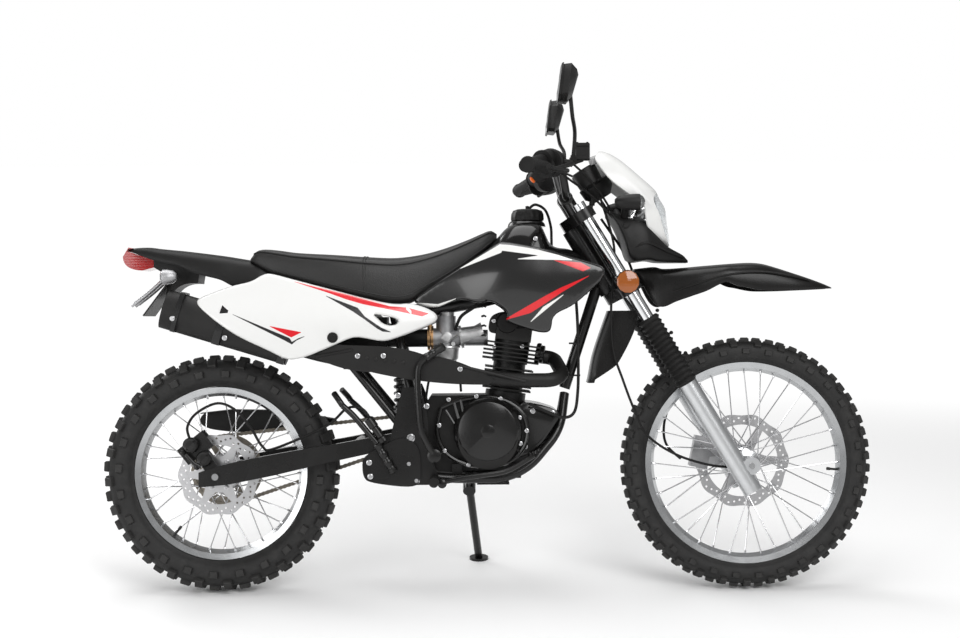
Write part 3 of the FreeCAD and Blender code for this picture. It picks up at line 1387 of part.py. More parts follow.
panel = side_panel()
keep("side_panels", grouped(panel, mirrored(panel)))
tail_side_shares = [
    [(0.215, 0.690)], [(0.435, 0.531), (0.641, 0.292), (0.788, 0.177), (0.900, 0.000)], [(1.000, 0.088)],
    [(1.100, 0.560)], [(0.788, 0.752), (0.494, 0.867)], [(0.318, 0.938), (0.200, 0.965), (0.038, 0.929)],
    [(0.029, 0.885)],
]
tail_plan_shares = [(0.0, 0.62), (0.3, 0.86), (0.7, 1.0), (1.2, 0.96)]


def tail_body():
    side = side_form(tail_side_shares, d.tail_rear_x, d.tail_floor_z, d.tail_length, d.tail_height, d.tail_width)
    plan = plan_form(tail_plan_shares, d.tail_rear_x, d.tail_length, d.tail_width / 2, d.tail_floor_z - d.cut_overrun,
                     d.tail_height * 1.3)
    return side.common(plan)


def tail_fender():
    body = tail_body()
    lower = body.copy()
    lower.translate(Vector(0, 0, -d.panel_thickness))
    inner_plan = plan_form(tail_plan_shares, d.tail_rear_x, d.tail_length, d.tail_width / 2 - d.panel_thickness,
                           d.tail_floor_z - d.tail_height, d.tail_height * 3)
    seat_room = seat_body.copy()
    seat_room.translate(Vector(0, 0, -d.seat_clearance))
    return body.cut([lower.common(inner_plan), seat_body, seat_room])


keep("tail_fender", tail_fender())


def tail_light():
    # A lens under the tail's end.
    light_shares = [[(0.0, 1.25)], [(0.92, 1.0)], [(1.0, 0.2)], [(0.5, 0.0)], [(-0.18, 0.55), (-0.2, 0.75)]]
    lens = side_form(light_shares, d.tail_rear_x + d.tail_light_length / 3,
                     d.tail_floor_z + d.tail_height * 0.86 - d.tail_light_height, d.tail_light_length * 1.9,
                     d.tail_light_height, d.tail_light_width * 0.8)
    return lens.cut([tail_solid, tail_lowered, tail_shifted])


tail_solid = tail_body()
tail_lowered = tail_solid.copy()
tail_lowered.translate(Vector(0, 0, -d.seat_clearance))
tail_shifted = tail_solid.copy()
tail_shifted.translate(Vector(d.seat_clearance, 0, 0))
keep("tail_light", tail_light())


def plate_bracket():
    # A moulded base under the tail with a sloping plate, drilled for a registration plate.
    base_shares = [
        [(0.0, 1.1)], [(0.45, 1.06)], [(1.0, 0.92)], [(0.92, 0.50)], [(0.5, 0.42), (0.30, 0.10)], [(0.20, 0.12)],
        [(0.34, 0.62)], [(0.0, 0.80)],
    ]
    rear = d.tail_rear_x + d.tail_length * 0.24
    base = side_form(base_shares, rear, d.tail_floor_z - d.tail_height * 0.55, d.tail_length * 0.38,
                     d.tail_height * 1.3, d.tail_width * 0.55)
    light = tail_light()
    light_room = light.copy()
    light_room.translate(Vector(d.seat_clearance, 0, -d.seat_clearance))
    base = base.cut([tail_solid, tail_lowered, light, light_room])
    top = Vector(rear + d.tail_length * 0.38 * 0.34, 0, d.tail_floor_z + d.tail_height * 0.1)
    half = d.plate_width / 2
    plate = Part.makeBox(d.panel_thickness, d.plate_width, d.plate_height)
    plate.translate(Vector(-d.panel_thickness, -half, -d.plate_height))
    holes = [rod(Vector(-d.panel_thickness * 2, side * d.plate_hole_spacing / 2, -d.plate_height * 0.7),
                 Vector(d.panel_thickness, side * d.plate_hole_spacing / 2, -d.plate_height * 0.7),
                 d.plate_hole_radius) for side in sides]
    plate = plate.cut(holes)
    plate.rotate(Vector(0, 0, 0), across, 37)
    plate.translate(top)
    return joined(base, plate)


keep("plate_bracket", plate_bracket())


def signal(base):
    # An oval body on a rubber stalk, to the left of its base.
    stalk_end = base + across * d.signal_length
    stalk = rod(base, stalk_end, d.signal_stalk_radius)
    middle = stalk_end + across * d.signal_radius * 0.9
    body = rod(middle - ahead * d.signal_length / 2, middle + ahead * d.signal_length / 2, d.signal_radius)
    return joined(stalk, body)


rear_signal = signal(Vector(d.tail_rear_x + d.tail_length * 0.42, d.tail_width * 0.275 + d.seat_clearance,
                            d.tail_floor_z + d.tail_height * 0.26))
keep("rear_signals", grouped(rear_signal, mirrored(rear_signal)))


def front_signal():
    cowl_beside = cowl.copy()
    cowl_beside.translate(across * d.seat_clearance)
    form = signal(Vector(cowl_rear_x + d.cowl_length * 0.40, d.cowl_width * 0.40,
                         d.cowl_floor_z + d.cowl_height * 0.56))
    return max(form.cut([cowl, cowl_beside]).Solids, key=lambda part: part.Volume)


keep("front_signals", grouped(front_signal(), mirrored(front_signal())))


def skid_plate():
    # A folded plate under the cradle.
    low = d.cradle_floor_z - d.cradle_tube_radius - d.seat_clearance - d.panel_thickness
    return Part.makeBox(d.crankcase_length * 0.3, d.cradle_half_width * 2, d.panel_thickness,
                        Vector(stand_pivot.x + d.stand_leg_radius * 2, -d.cradle_half_width, low))


keep("skid_plate", skid_plate())
plate_outside = d.pivot_plate_half + d.pivot_plate_thickness


def rider_peg(side):
    start = Vector(pivot.x + d.pivot_plate_width * 0.68, side * (plate_outside + d.seat_clearance),
                   d.cradle_floor_z + d.peg_radius * 0.2)
    return rod(start, start + across * side * d.peg_length, d.peg_radius)


keep("foot_pegs", grouped(rider_peg(-1), rider_peg(1)))
shock_low = Vector(shock_top.x, 0, pivot.z + d.swingarm_boss_radius * 1.3)


def rear_shock():
    # A coil round a damper, between the swing arm and a cross tube of the frame.
    eye = d.cradle_tube_radius * 0.9 + d.seat_clearance
    low = shock_low
    high = shock_top - upward * eye
    coil_low = low + upward * d.shock_spring_radius
    coil_high = high - upward * d.shock_spring_radius * 0.4
    body = rod(low, high, d.shock_spring_radius * 0.4)
    coil = rod(coil_low, coil_high, d.shock_spring_radius)
    boss = rod(pivot, pivot + across * d.swingarm_gap / 2, d.swingarm_boss_radius + d.seat_clearance)
    return joined(body, coil).cut([boss, mirrored(boss)])


keep("rear_shock", rear_shock())


def brake_caliper(centre, radius, offset, angle, side, carrier_y, anchor):
    # A caliper that straddles the disc, on a plate that reaches to what carries it.
    size = d.caliper_size
    inboard = d.disc_thickness / 2 + d.cut_overrun * 4
    outboard = abs(carrier_y - offset) + d.panel_thickness
    low_y = -inboard if side > 0 else -outboard
    block = Part.makeBox(size, inboard + outboard, size * 1.7, Vector(radius - size * 0.8, low_y, -size * 0.85))
    gap = d.disc_thickness / 2 + d.cut_overrun
    slot = Part.makeBox(size * 1.8, gap * 2, size * 2, Vector(radius + d.cut_overrun - size * 1.8, -gap, -size))
    block = block.cut(slot)
    block.rotate(Vector(0, 0, 0), across, -angle)
    block.translate(centre + across * offset)
    turn = math.radians(angle)
    start = centre + Vector(math.cos(turn), 0, math.sin(turn)) * (radius - size * 0.3)
    start.y = carrier_y
    end = Vector(anchor.x, carrier_y, anchor.z)
    thick = across * side * d.panel_thickness
    run = end - start
    wide = run.cross(across).normalize() * size * 0.35
    plate = Part.Face(Part.makePolygon([start + wide, end + wide, end - wide, start - wide, start + wide]))
    return joined(block, plate.extrude(thick), rod(end, end + thick, size * 0.35))


fork_face = leg_half - d.fork_slider_radius - d.seat_clearance - d.panel_thickness
keep("front_brake", brake_caliper(front_axle, d.front_disc_radius, front_disc_side, 168, 1, fork_face,
                                  fork_place(d.fork_slider_radius * 2, d.fork_offset)))
arm_face = -d.swingarm_gap / 2 + d.seat_clearance + d.panel_thickness
axle_room = rod(rear_axle, rear_axle - across * d.swingarm_gap, d.rear_axle_radius * 1.6 + d.seat_clearance)
keep("rear_brake", brake_caliper(rear_axle, d.rear_disc_radius, -rear_disc_side, 128, -1, arm_face,
                                 rear_axle).cut(axle_room))

# the whole machine stands on the floor under the middle of its outline
doc.recompute()
boxes = [piece.Shape.optimalBoundingBox(False) for piece in pieces.values()]
middle_x = (min(b.XMin for b in boxes) + max(b.XMax for b in boxes)) / 2
middle_y = (min(b.YMin for b in boxes) + max(b.YMax for b in boxes)) / 2
stance = Placement(Vector(-middle_x, -middle_y, -tyre_low), Rotation())
for piece in pieces.values():
    piece.Placement = stance.multiply(piece.Placement)
doc.recompute()

# every object and every sub-part is sound before anything is written
for item in doc.Objects:
    if {"Invalid", "Error"} & set(item.State):
        raise ValueError(f"{item.Label} did not recompute")
os.makedirs("parts", exist_ok=True)
for name, piece in pieces.items():
    if piece.Shape.isNull() or not piece.Shape.isValid():
        raise ValueError(f"{name} is not a valid shape")
    piece.Shape.exportStep(f"parts/{name}.step")
print(len(pieces), "sub-parts")
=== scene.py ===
import json
import math

import bmesh
import bpy
from mathutils import Matrix, Vector
from mathutils.geometry import delaunay_2d_cdt


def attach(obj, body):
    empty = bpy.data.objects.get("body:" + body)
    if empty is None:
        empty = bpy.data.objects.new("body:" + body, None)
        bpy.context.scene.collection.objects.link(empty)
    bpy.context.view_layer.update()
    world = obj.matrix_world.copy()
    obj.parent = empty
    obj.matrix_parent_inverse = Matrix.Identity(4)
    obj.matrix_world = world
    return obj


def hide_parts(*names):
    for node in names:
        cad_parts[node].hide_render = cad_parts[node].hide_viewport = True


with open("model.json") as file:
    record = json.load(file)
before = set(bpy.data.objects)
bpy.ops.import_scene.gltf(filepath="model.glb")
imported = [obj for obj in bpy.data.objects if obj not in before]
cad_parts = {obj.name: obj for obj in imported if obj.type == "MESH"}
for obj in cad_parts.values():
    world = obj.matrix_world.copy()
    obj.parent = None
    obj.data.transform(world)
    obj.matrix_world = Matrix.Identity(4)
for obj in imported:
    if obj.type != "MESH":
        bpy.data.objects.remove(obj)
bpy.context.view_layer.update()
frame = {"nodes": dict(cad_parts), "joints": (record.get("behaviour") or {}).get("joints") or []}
joints = {joint["name"]: joint for joint in frame["joints"]}
print("frame loaded with", len(frame["nodes"]), "nodes")

# The machine is drawn upright, in metres, and one matrix leans it as it is parked.
rearAxle = Vector((-0.712, 0, 0.321))
axleLine = Vector(joints["rear_wheel_axle"]["axis"])
leaned = Matrix.Rotation(-math.atan2(-axleLine.z, axleLine.y), 4, "X")
parked = Matrix.Translation(Vector(joints["rear_wheel_axle"]["pos_m"]) - leaned @ rearAxle) @ leaned
both = (-1, 1)


# shader helpers


class Wire:
    # A socket of a shader tree. Arithmetic on it adds the nodes that do the sum.

    def __init__(self, recipe, socket):
        self.recipe = recipe
        self.socket = socket

    def maths(self, operation, *others):
        node = self.recipe.add("ShaderNodeMath", operation=operation)
        for index, value in enumerate((self,) + others):
            self.recipe.feed(node.inputs[index], value)
        return Wire(self.recipe, node.outputs[0])

    def __add__(self, other):
        return self.maths("ADD", other)

    def __sub__(self, other):
        return self.maths("SUBTRACT", other)

    def __rsub__(self, other):
        return self.maths("MULTIPLY_ADD", -1.0, other)

    def __mul__(self, other):
        return self.maths("MULTIPLY", other)

    def __truediv__(self, other):
        return self.maths("DIVIDE", other)

    __radd__ = __add__
    __rmul__ = __mul__

    def least(self, other):
        return self.maths("MINIMUM", other)

    def most(self, other):
        return self.maths("MAXIMUM", other)

    def ramp(self, low, high, start=0.0, end=1.0):
        # A smooth step from start to end as the value goes from low to high.
        node = self.recipe.add("ShaderNodeMapRange", interpolation_type="SMOOTHSTEP")
        for index, value in enumerate((self, low, high, start, end)):
            self.recipe.feed(node.inputs[index], value)
        return Wire(self.recipe, node.outputs[0])


class Recipe:
    # One procedural material, built node by node round a principled shader.

    def __init__(self, name):
        self.material = bpy.data.materials.new(name)
        self.material.use_nodes = True
        self.tree = self.material.node_tree
        self.tree.nodes.clear()
        self.shader = self.add("ShaderNodeBsdfPrincipled")
        output = self.add("ShaderNodeOutputMaterial")
        self.tree.links.new(self.shader.outputs[0], output.inputs[0])
        self.place = Wire(self, self.add("ShaderNodeTexCoord").outputs["Object"])

    def add(self, kind, **settings):
        node = self.tree.nodes.new(kind)
        for key, value in settings.items():
            setattr(node, key, value)
        return node

    def feed(self, socket, value):
        if isinstance(value, Wire):
            self.tree.links.new(value.socket, socket)
        elif value is not None:
            socket.default_value = value

    def axes(self, place=None):
        # The three coordinates of a place, one wire each.
        node = self.add("ShaderNodeSeparateXYZ")
        self.feed(node.inputs[0], place or self.place)
        return [Wire(self, output) for output in node.outputs]

    def stretched(self, scale, place=None):
        # A place scaled along each axis.
        node = self.add("ShaderNodeVectorMath", operation="MULTIPLY")
        self.feed(node.inputs[0], place or self.place)
        self.feed(node.inputs[1], scale)
        return Wire(self, node.outputs[0])

    def noise(self, scale, detail=3.0, roughness=0.5, place=None):
        node = self.add("ShaderNodeTexNoise")
        self.feed(node.inputs["Vector"], place or self.place)
        self.feed(node.inputs["Scale"], scale)
        self.feed(node.inputs["Detail"], detail)
        self.feed(node.inputs["Roughness"], roughness)
        return Wire(self, node.outputs[0])

    def cells(self, scale, feature="F1", place=None):
        node = self.add("ShaderNodeTexVoronoi", feature=feature)
        self.feed(node.inputs["Vector"], place or self.place)
        self.feed(node.inputs["Scale"], scale)
        return Wire(self, node.outputs["Distance"])

    def mix(self, factor, first, second):
        # A colour between two, which may be plain colours or wires.
        node = self.add("ShaderNodeMix", data_type="RGBA")
        self.feed(node.inputs[0], factor)
        self.feed(node.inputs[6], first if isinstance(first, Wire) else (*first, 1.0))
        self.feed(node.inputs[7], second if isinstance(second, Wire) else (*second, 1.0))
        return Wire(self, node.outputs[2])

    def bump(self, height, strength, distance, normal=None):
        node = self.add("ShaderNodeBump")
        self.feed(node.inputs["Height"], height)
        self.feed(node.inputs["Strength"], strength)
        self.feed(node.inputs["Distance"], distance)
        self.feed(node.inputs["Normal"], normal)
        return Wire(self, node.outputs[0])

    def worn(self):
        # How much an edge stands out, from 0 on the flat to 1 on a sharp corner.
        node = self.add("ShaderNodeNewGeometry")
        return Wire(self, node.outputs["Pointiness"]).ramp(0.52, 0.60)

    def finish(self, **inputs):
        # Feeds the shader's sockets by short names, each looked up in a table.
        names = {
            "colour": "Base Color", "roughness": "Roughness", "metallic": "Metallic", "normal": "Normal",
            "coat": "Coat Weight", "coatRoughness": "Coat Roughness", "ior": "IOR", "clear": "Transmission Weight",
            "specular": "Specular IOR Level", "glow": "Emission Strength", "glowColour": "Emission Color",
        }
        for key, value in inputs.items():
            plainColour = key in ("colour", "glowColour") and not isinstance(value, Wire)
            self.feed(self.shader.inputs[names[key]], (*value, 1.0) if plainColour else value)
        return self.material


# materials


def dustyMask(recipe, scale=9.0):
    # Slow patches that break up an even finish.
    return recipe.noise(scale, 4.0, 0.6).ramp(0.35, 0.75)


def paintedMaterial(name, colour, roughness, spread=0.08, grain=900.0):
    # Gloss or satin paint: faint orange peel, uneven polish and paler edges.
    recipe = Recipe(name)
    peel = recipe.noise(grain, 2.0, 0.5)
    mask = dustyMask(recipe)
    pale = tuple(min(1.0, channel * 1.1 + 0.006) for channel in colour)
    shade = recipe.mix(mask * 0.5 + recipe.worn() * 0.3, colour, pale)
    return recipe.finish(colour=shade, roughness=mask * spread + roughness, coat=0.14, coatRoughness=0.10,
                         specular=0.32, normal=recipe.bump(peel, 0.08, 0.0004))


def grainedPlastic(name, colour, roughness, grain=650.0, depth=0.25):
    # Moulded plastic with a fine pebbled skin.
    recipe = Recipe(name)
    pebble = recipe.cells(grain)
    speck = recipe.noise(grain * 0.6, 4.0, 0.6)
    mask = dustyMask(recipe, 7.0)
    pale = tuple(min(1.0, channel * 1.25 + 0.004) for channel in colour)
    return recipe.finish(colour=recipe.mix(mask * 0.6, colour, pale), roughness=speck * 0.14 + roughness,
                         specular=0.26, normal=recipe.bump(pebble + speck * 0.5, depth, 0.0006))


def castMetal(name, colour, roughness, grain=420.0, metallic=0.9):
    # A sand-cast face, darker where dirt settles.
    recipe = Recipe(name)
    sand = recipe.noise(grain, 6.0, 0.7)
    mask = dustyMask(recipe, 14.0)
    dark = tuple(channel * 0.6 for channel in colour)
    return recipe.finish(colour=recipe.mix(mask, colour, dark), metallic=metallic, specular=0.35,
                         roughness=sand * 0.2 + roughness, normal=recipe.bump(sand, 0.3, 0.0007))


def brightMetal(name, colour, roughness, stretch=(1.0, 1.0, 1.0), scale=60.0):
    # Plated or machined metal with a faint drawn grain and smudges.
    recipe = Recipe(name)
    drawn = recipe.noise(scale, 5.0, 0.6, recipe.stretched(stretch))
    smudge = dustyMask(recipe, 22.0)
    dull = tuple(channel * 0.82 for channel in colour)
    return recipe.finish(colour=recipe.mix(smudge * 0.5, colour, dull), metallic=1.0,
                         roughness=drawn * 0.10 + smudge * 0.06 + roughness,
                         normal=recipe.bump(drawn, 0.06, 0.0003))


def rubberMaterial(name, colour, roughness=0.62, grain=320.0):
    # Rubber, matt and a little greyer where it is dusty.
    recipe = Recipe(name)
    grit = recipe.noise(grain, 5.0, 0.65)
    dust = recipe.noise(16.0, 5.0, 0.7).ramp(0.45, 0.8)
    grey = tuple(channel * 1.5 + 0.008 for channel in colour)
    return recipe.finish(colour=recipe.mix(dust * 0.55, colour, grey), roughness=grit * 0.16 + roughness,
                         specular=0.24, normal=recipe.bump(grit, 0.22, 0.0006))


def lensMaterial(name, colour, clear=0.9, rib=0.0, glow=0.0):
    # Moulded lens plastic, ribbed inside where it scatters its lamp's light.
    recipe = Recipe(name)
    across = recipe.axes()[2]
    ribs = (across * rib).maths("SINE") if rib else recipe.noise(30.0)
    haze = recipe.noise(25.0, 3.0, 0.5)
    return recipe.finish(colour=recipe.mix(haze * 0.4, colour, tuple(c * 0.7 for c in colour)), clear=clear,
                         roughness=haze * 0.06 + 0.04, ior=1.49, coat=0.5, coatRoughness=0.05,
                         normal=recipe.bump(ribs, 0.08 if rib else 0.02, 0.0006))


finishes = {
    "rubber": rubberMaterial("softRubber", (0.0060, 0.0057, 0.0055), 0.50, 420.0),
    "rim": brightMetal("rimAluminium", (0.52, 0.53, 0.54), 0.16, scale=40.0),
    "chrome": brightMetal("chromePlate", (0.80, 0.81, 0.82), 0.06, scale=20.0),
    "spokeSteel": brightMetal("spokeSteel", (0.62, 0.62, 0.63), 0.18, scale=80.0),
    "steel": brightMetal("discSteel", (0.56, 0.56, 0.57), 0.24, (1.0, 12.0, 1.0), 90.0),
    "chain": brightMetal("chainSteel", (0.22, 0.20, 0.17), 0.34, scale=200.0),
    "sliderSilver": brightMetal("sliderAluminium", (0.62, 0.63, 0.64), 0.28, (1.0, 1.0, 8.0), 70.0),
    "castGrey": castMetal("castAluminium", (0.46, 0.46, 0.47), 0.36),
    "framePaint": paintedMaterial("framePaint", (0.0045, 0.0042, 0.0040), 0.26),
    "engineBlack": castMetal("engineCasting", (0.010, 0.0095, 0.009), 0.34, 380.0, 0.1),
    "engineGloss": paintedMaterial("engineGloss", (0.0050, 0.0047, 0.0045), 0.20),
    "carbSilver": castMetal("carburettorAlloy", (0.62, 0.62, 0.62), 0.30),
    "brass": brightMetal("brassPlate", (0.66, 0.40, 0.20), 0.24, scale=90.0),
    "springBlack": paintedMaterial("springBlack", (0.006, 0.006, 0.006), 0.22),
    "greyCap": grainedPlastic("greyCap", (0.34, 0.34, 0.34), 0.34),
    "amberPlastic": grainedPlastic("amberPlastic", (0.70, 0.12, 0.01), 0.30),
    "exhaustBlack": castMetal("exhaustPaint", (0.0075, 0.007, 0.0066), 0.42, 500.0, 0.1),
    "blackPlastic": grainedPlastic("blackPlastic", (0.0050, 0.0047, 0.0045), 0.38),
    "glossBlack": paintedMaterial("glossBlack", (0.0045, 0.0042, 0.0040), 0.14, 0.05),
    "whiteGloss": paintedMaterial("whiteGloss", (0.66, 0.66, 0.65), 0.20, 0.05),
    "glossPlastic": grainedPlastic("glossPlastic", (0.0050, 0.0047, 0.0045), 0.22, 700.0, 0.06),
    "clearLens": lensMaterial("clearLens", (0.90, 0.92, 0.93), 0.95),
    "redLens": lensMaterial("redLens", (0.42, 0.008, 0.008), 0.35, 900.0),
    "amberLens": lensMaterial("amberLens", (0.46, 0.12, 0.012), 0.36, 900.0),
}
nodeFinishes = {
    "rim": ("front_rim", "rear_rim", "front_hub"),
    "chrome": ("fork_tubes", "front_axle", "rear_spindles"),
    "chain": ("rear_sprocket", "front_sprocket"),
    "sliderSilver": ("fork_sliders",),
    "rubber": ("fork_boots", "hand_controls", "foot_pegs"),
    "castGrey": ("carburettor", "rear_hub", "front_brake"),
    "engineBlack": ("crankcase", "cylinder_barrel", "cylinder_head"),
    "exhaustBlack": ("exhaust_pipe", "silencer", "heat_shield"),
    "blackPlastic": ("plate_bracket", "air_box"),
    "redLens": ("tail_light",),
}
finishOf = {node: finish for finish, nodes in nodeFinishes.items() for node in nodes}
for name, node in frame["nodes"].items():
    node.data.materials.clear()
    node.data.materials.append(finishes[finishOf.get(name, "framePaint")])
print("finishes on the frame's nodes")


# mesh helpers

crease = math.radians(38)


def keepPiece(name, body, shape, finish, replaced=()):
    # A finished piece, leaned with the machine, riding on its body.
    mesh = shape.mesh(name)
    piece = bpy.data.objects.new(name, mesh)
    bpy.context.scene.collection.objects.link(piece)
    piece.matrix_world = parked
    for face in mesh.polygons:
        face.use_smooth = True
    mesh.set_sharp_from_angle(angle=crease)
    mesh.materials.append(finishes[finish] if isinstance(finish, str) else finish)
    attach(piece, body)
    if replaced:
        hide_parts(*replaced)
    return piece


def meshOf(name, vertices, faces):
    mesh = bpy.data.meshes.new(name)
    mesh.from_pydata([tuple(vertex) for vertex in vertices], [], faces)
    mesh.validate()
    return mesh


class Shape:
    # Vertices in millimetres and faces, gathered part by part for one piece.

    def __init__(self):
        self.vertices = []
        self.faces = []

    def join(self, vertices, faces):
        first = len(self.vertices)
        self.vertices += [Vector(vertex) for vertex in vertices]
        self.faces += [tuple(first + index for index in face) for face in faces]
        return self

    def loft(self, rings, closed=True, capped=True):
        # Quads between rings of equal length. Closed rings make a tube and open ones a sheet.
        count = len(rings[0])
        vertices = [vertex for ring in rings for vertex in ring]
        faces = []
        for row in range(len(rings) - 1):
            for column in range(count if closed else count - 1):
                after = (column + 1) % count
                faces.append((row * count + column, row * count + after,
                              (row + 1) * count + after, (row + 1) * count + column))
        if closed and capped:
            last = (len(rings) - 1) * count
            faces += [tuple(range(count - 1, -1, -1)), tuple(range(last, last + count))]
        return self.join(vertices, faces)

    def tube(self, path, radii, sides=12):
        # A round bar along a path. Its radii are one number, a list, or its first ones, the rest and its last ones.
        places = [Vector(place) for place in path]
        if not isinstance(radii, list):
            starts, middle, ends = radii if isinstance(radii, tuple) else ([], radii, [])
            radii = starts + [middle] * (len(places) - len(starts) - len(ends)) + ends
        heading = (places[1] - places[0]).normalized()
        side = heading.orthogonal().normalized()
        rings = []
        for index, place in enumerate(places):
            before, after = places[max(index - 1, 0)], places[min(index + 1, len(places) - 1)]
            turned = (after - before).normalized()
            side = (side - turned * side.dot(turned)).normalized()
            up = turned.cross(side)
            rings.append([place + (side * math.cos(turn) + up * math.sin(turn)) * radii[index]
                          for turn in (math.tau * step / sides for step in range(sides))])
        return self.loft(rings)

    def turned(self, start, end, profile, sides=24):
        # A turned form along a line. The profile is pairs of millimetres along it and of radius.
        start = Vector(start)
        along = (Vector(end) - start).normalized()
        return self.tube([start + along * (place + index * 0.001) for index, (place, _) in enumerate(profile)],
                         [max(radius, 0.01) for _, radius in profile], sides)

    def mirror(self):
        # The same again on the other side of the machine.
        count = len(self.vertices)
        self.vertices += [Vector((vertex.x, -vertex.y, vertex.z)) for vertex in self.vertices[:count]]
        self.faces += [tuple(count + index for index in reversed(face)) for face in list(self.faces)]
        return self

    def mesh(self, name):
        mesh = meshOf(name, [vertex * 0.001 for vertex in self.vertices], self.faces)
        form = bmesh.new()
        form.from_mesh(mesh)
        bmesh.ops.recalc_face_normals(form, faces=form.faces)
        form.to_mesh(mesh)
        form.free()
        return mesh


def flow(table, at):
    # A smooth curve through pairs of a place and a value.
    if at <= table[0][0]:
        return table[0][1]
    if at >= table[-1][0]:
        return table[-1][1]
    index = next(i for i in range(len(table) - 1) if at <= table[i + 1][0])

    def slope(i):
        low, high = table[max(i - 1, 0)], table[min(i + 1, len(table) - 1)]
        return (high[1] - low[1]) / (high[0] - low[0])

    (start, low), (end, high) = table[index], table[index + 1]
    span = end - start
    t = (at - start) / span
    return (low * (2 * t**3 - 3 * t**2 + 1) + slope(index) * span * (t**3 - 2 * t**2 + t)
            + high * (3 * t**2 - 2 * t**3) + slope(index + 1) * span * (t**3 - t**2))


def curve(points, steps=8):
    # A smooth path through points, by the same rule as a spline through its control places.
    places = [Vector(point) for point in points]
    path = []
    for index in range(len(places) - 1):
        before, start, end = places[max(index - 1, 0)], places[index], places[index + 1]
        after = places[min(index + 2, len(places) - 1)]
        for step in range(steps):
            t = step / steps
            path.append(0.5 * (2 * start + (end - before) * t + (2 * before - 5 * start + 4 * end - after) * t**2
                               + (3 * start - before - 3 * end + after) * t**3))
    return path + [places[-1]]


def flipped(points, side):
    # The points as they are, or with a side of -1 on the other side of the machine.
    return [(x, side * y, z) for x, y, z in points]


def rounded(outline, share=0.22):
    # An outline with its corners cut back twice, so that it flows.
    loop = [Vector(point) for point in outline]
    for _ in range(2):
        loop = [start.lerp(end, part) for start, end in zip(loop, loop[1:] + loop[:1]) for part in (share, 1 - share)]
    return loop


def edgeDistance(place, loop):
    best = 1e9
    for start, end in zip(loop, loop[1:] + loop[:1]):
        run = end - start
        part = max(0.0, min(1.0, (place - start).dot(run) / max(run.length_squared, 1e-9)))
        best = min(best, (start + run * part - place).length)
    return best


def isInside(place, loop):
    inside = False
    for start, end in zip(loop, loop[1:] + loop[:1]):
        if (start.y > place.y) != (end.y > place.y):
            if place.x < start.x + (place.y - start.y) / (end.y - start.y) * (end.x - start.x):
                inside = not inside
    return inside


def isOn(place, loops):
    # Whether a place is inside the first loop and outside the openings after it.
    return isInside(place, loops[0]) and not any(isInside(place, hole) for hole in loops[1:])


def cutOut(loops, places):
    # Triangles over an outline, less its openings, through extra places inside it.
    edges, points = [], []
    for loop in loops:
        first, count = len(points), len(loop)
        points += loop
        edges += [(first + index, first + (index + 1) % count) for index in range(count)]
    points, _, faces = delaunay_2d_cdt(points + places, edges, [], 0, 0.0001)[:3]
    kept = []
    for face in faces:
        middle = sum((points[index] for index in face), Vector((0, 0))) / len(face)
        if isOn(middle, loops):
            kept.append(tuple(face))
    return points, kept


def rimOf(faces):
    # The edges that only one face uses.
    used = {pair for face in faces for pair in zip(face, face[1:] + face[:1])}
    return [(start, end) for start, end in sorted(used) if (end, start) not in used]


def inset(loop, distance, spacing, loops):
    # Places along an outline, moved in from it by a distance.
    found = []
    for start, end in zip(loop, loop[1:] + loop[:1]):
        run = end - start
        if run.length < 1e-6:
            continue
        away = Vector((-run.y, run.x)).normalized() * distance
        pieces = max(1, round(run.length / spacing))
        for step in range(pieces):
            middle = start.lerp(end, (step + 0.5) / pieces)
            for place in (middle + away, middle - away):
                if (isOn(place, loops) and min(edgeDistance(place, other) for other in loops) > distance * 0.93
                        and all((place - other).length > spacing * 0.5 for other in found[-6:])):
                    found.append(place)
    return found


def skin(form):
    # The right-hand moulded panel over an outline in the side view, with a rolled edge.
    spacing, roll, thick = form["spacing"], form["roll"], form["thick"]

    def depthAt(x, z):
        return flow([(place, flow(heights, z)) for place, heights in form["stations"]], x)

    loops = []
    for loop in (rounded(outline) for outline in (form["outline"], *form["holes"])):
        dense = []
        for start, end in zip(loop, loop[1:] + loop[:1]):
            pieces = max(1, round((end - start).length / (spacing * 0.5)))
            dense += [start.lerp(end, step / pieces) for step in range(pieces)]
        loops.append(dense)
    low = Vector((min(place.x for place in loops[0]), min(place.y for place in loops[0])))
    high = Vector((max(place.x for place in loops[0]), max(place.y for place in loops[0])))
    places = []
    for distance in (roll * 0.3, roll * 0.7, roll * 1.05):
        for loop in loops:
            places += inset(loop, distance, spacing * 0.7, loops)
    for row in range(int((high.y - low.y) / spacing) + 1):
        for column in range(int((high.x - low.x) / spacing) + 2):
            place = low + Vector(((column + 0.5 * (row % 2)) * spacing, (row + 0.5) * spacing))
            if isOn(place, loops) and min(edgeDistance(place, loop) for loop in loops) > roll * 1.05 + spacing * 0.45:
                places.append(place)
    points, faces = cutOut(loops, places)
    outer, inner = [], []
    for point in points:
        away = min(min(edgeDistance(point, loop) for loop in loops), roll)
        depth = depthAt(point.x, point.y) - roll + math.sqrt(max(roll**2 - (roll - away)**2, 0))
        outer.append((point.x, -depth, point.y))
        inner.append((point.x, -min(depthAt(point.x, point.y) - thick, depth - 0.4), point.y))
    count = len(points)
    walls = [(start, end, end + count, start + count) for start, end in rimOf(faces)]
    return Shape().join(outer + inner, faces + [tuple(index + count for index in reversed(face)) for face in faces]
                        + walls)


def bolt(shape, place, axis, radius):
    # A flanged hexagon head that stands on a face.
    start = Vector(place)
    end = start + Vector(axis)
    shape.turned(start, end, [(-1, radius * 1.35), (radius * 0.22, radius * 1.35), (radius * 0.34, radius * 1.1)], 18)
    shape.turned(start, end, [(0, radius), (radius * 0.85, radius), (radius * 1.0, radius * 0.84), (radius, 0)], 6)


def halfSection(form):
    return curve([(side, rise, 0) for side, rise in form["section"]], 3)


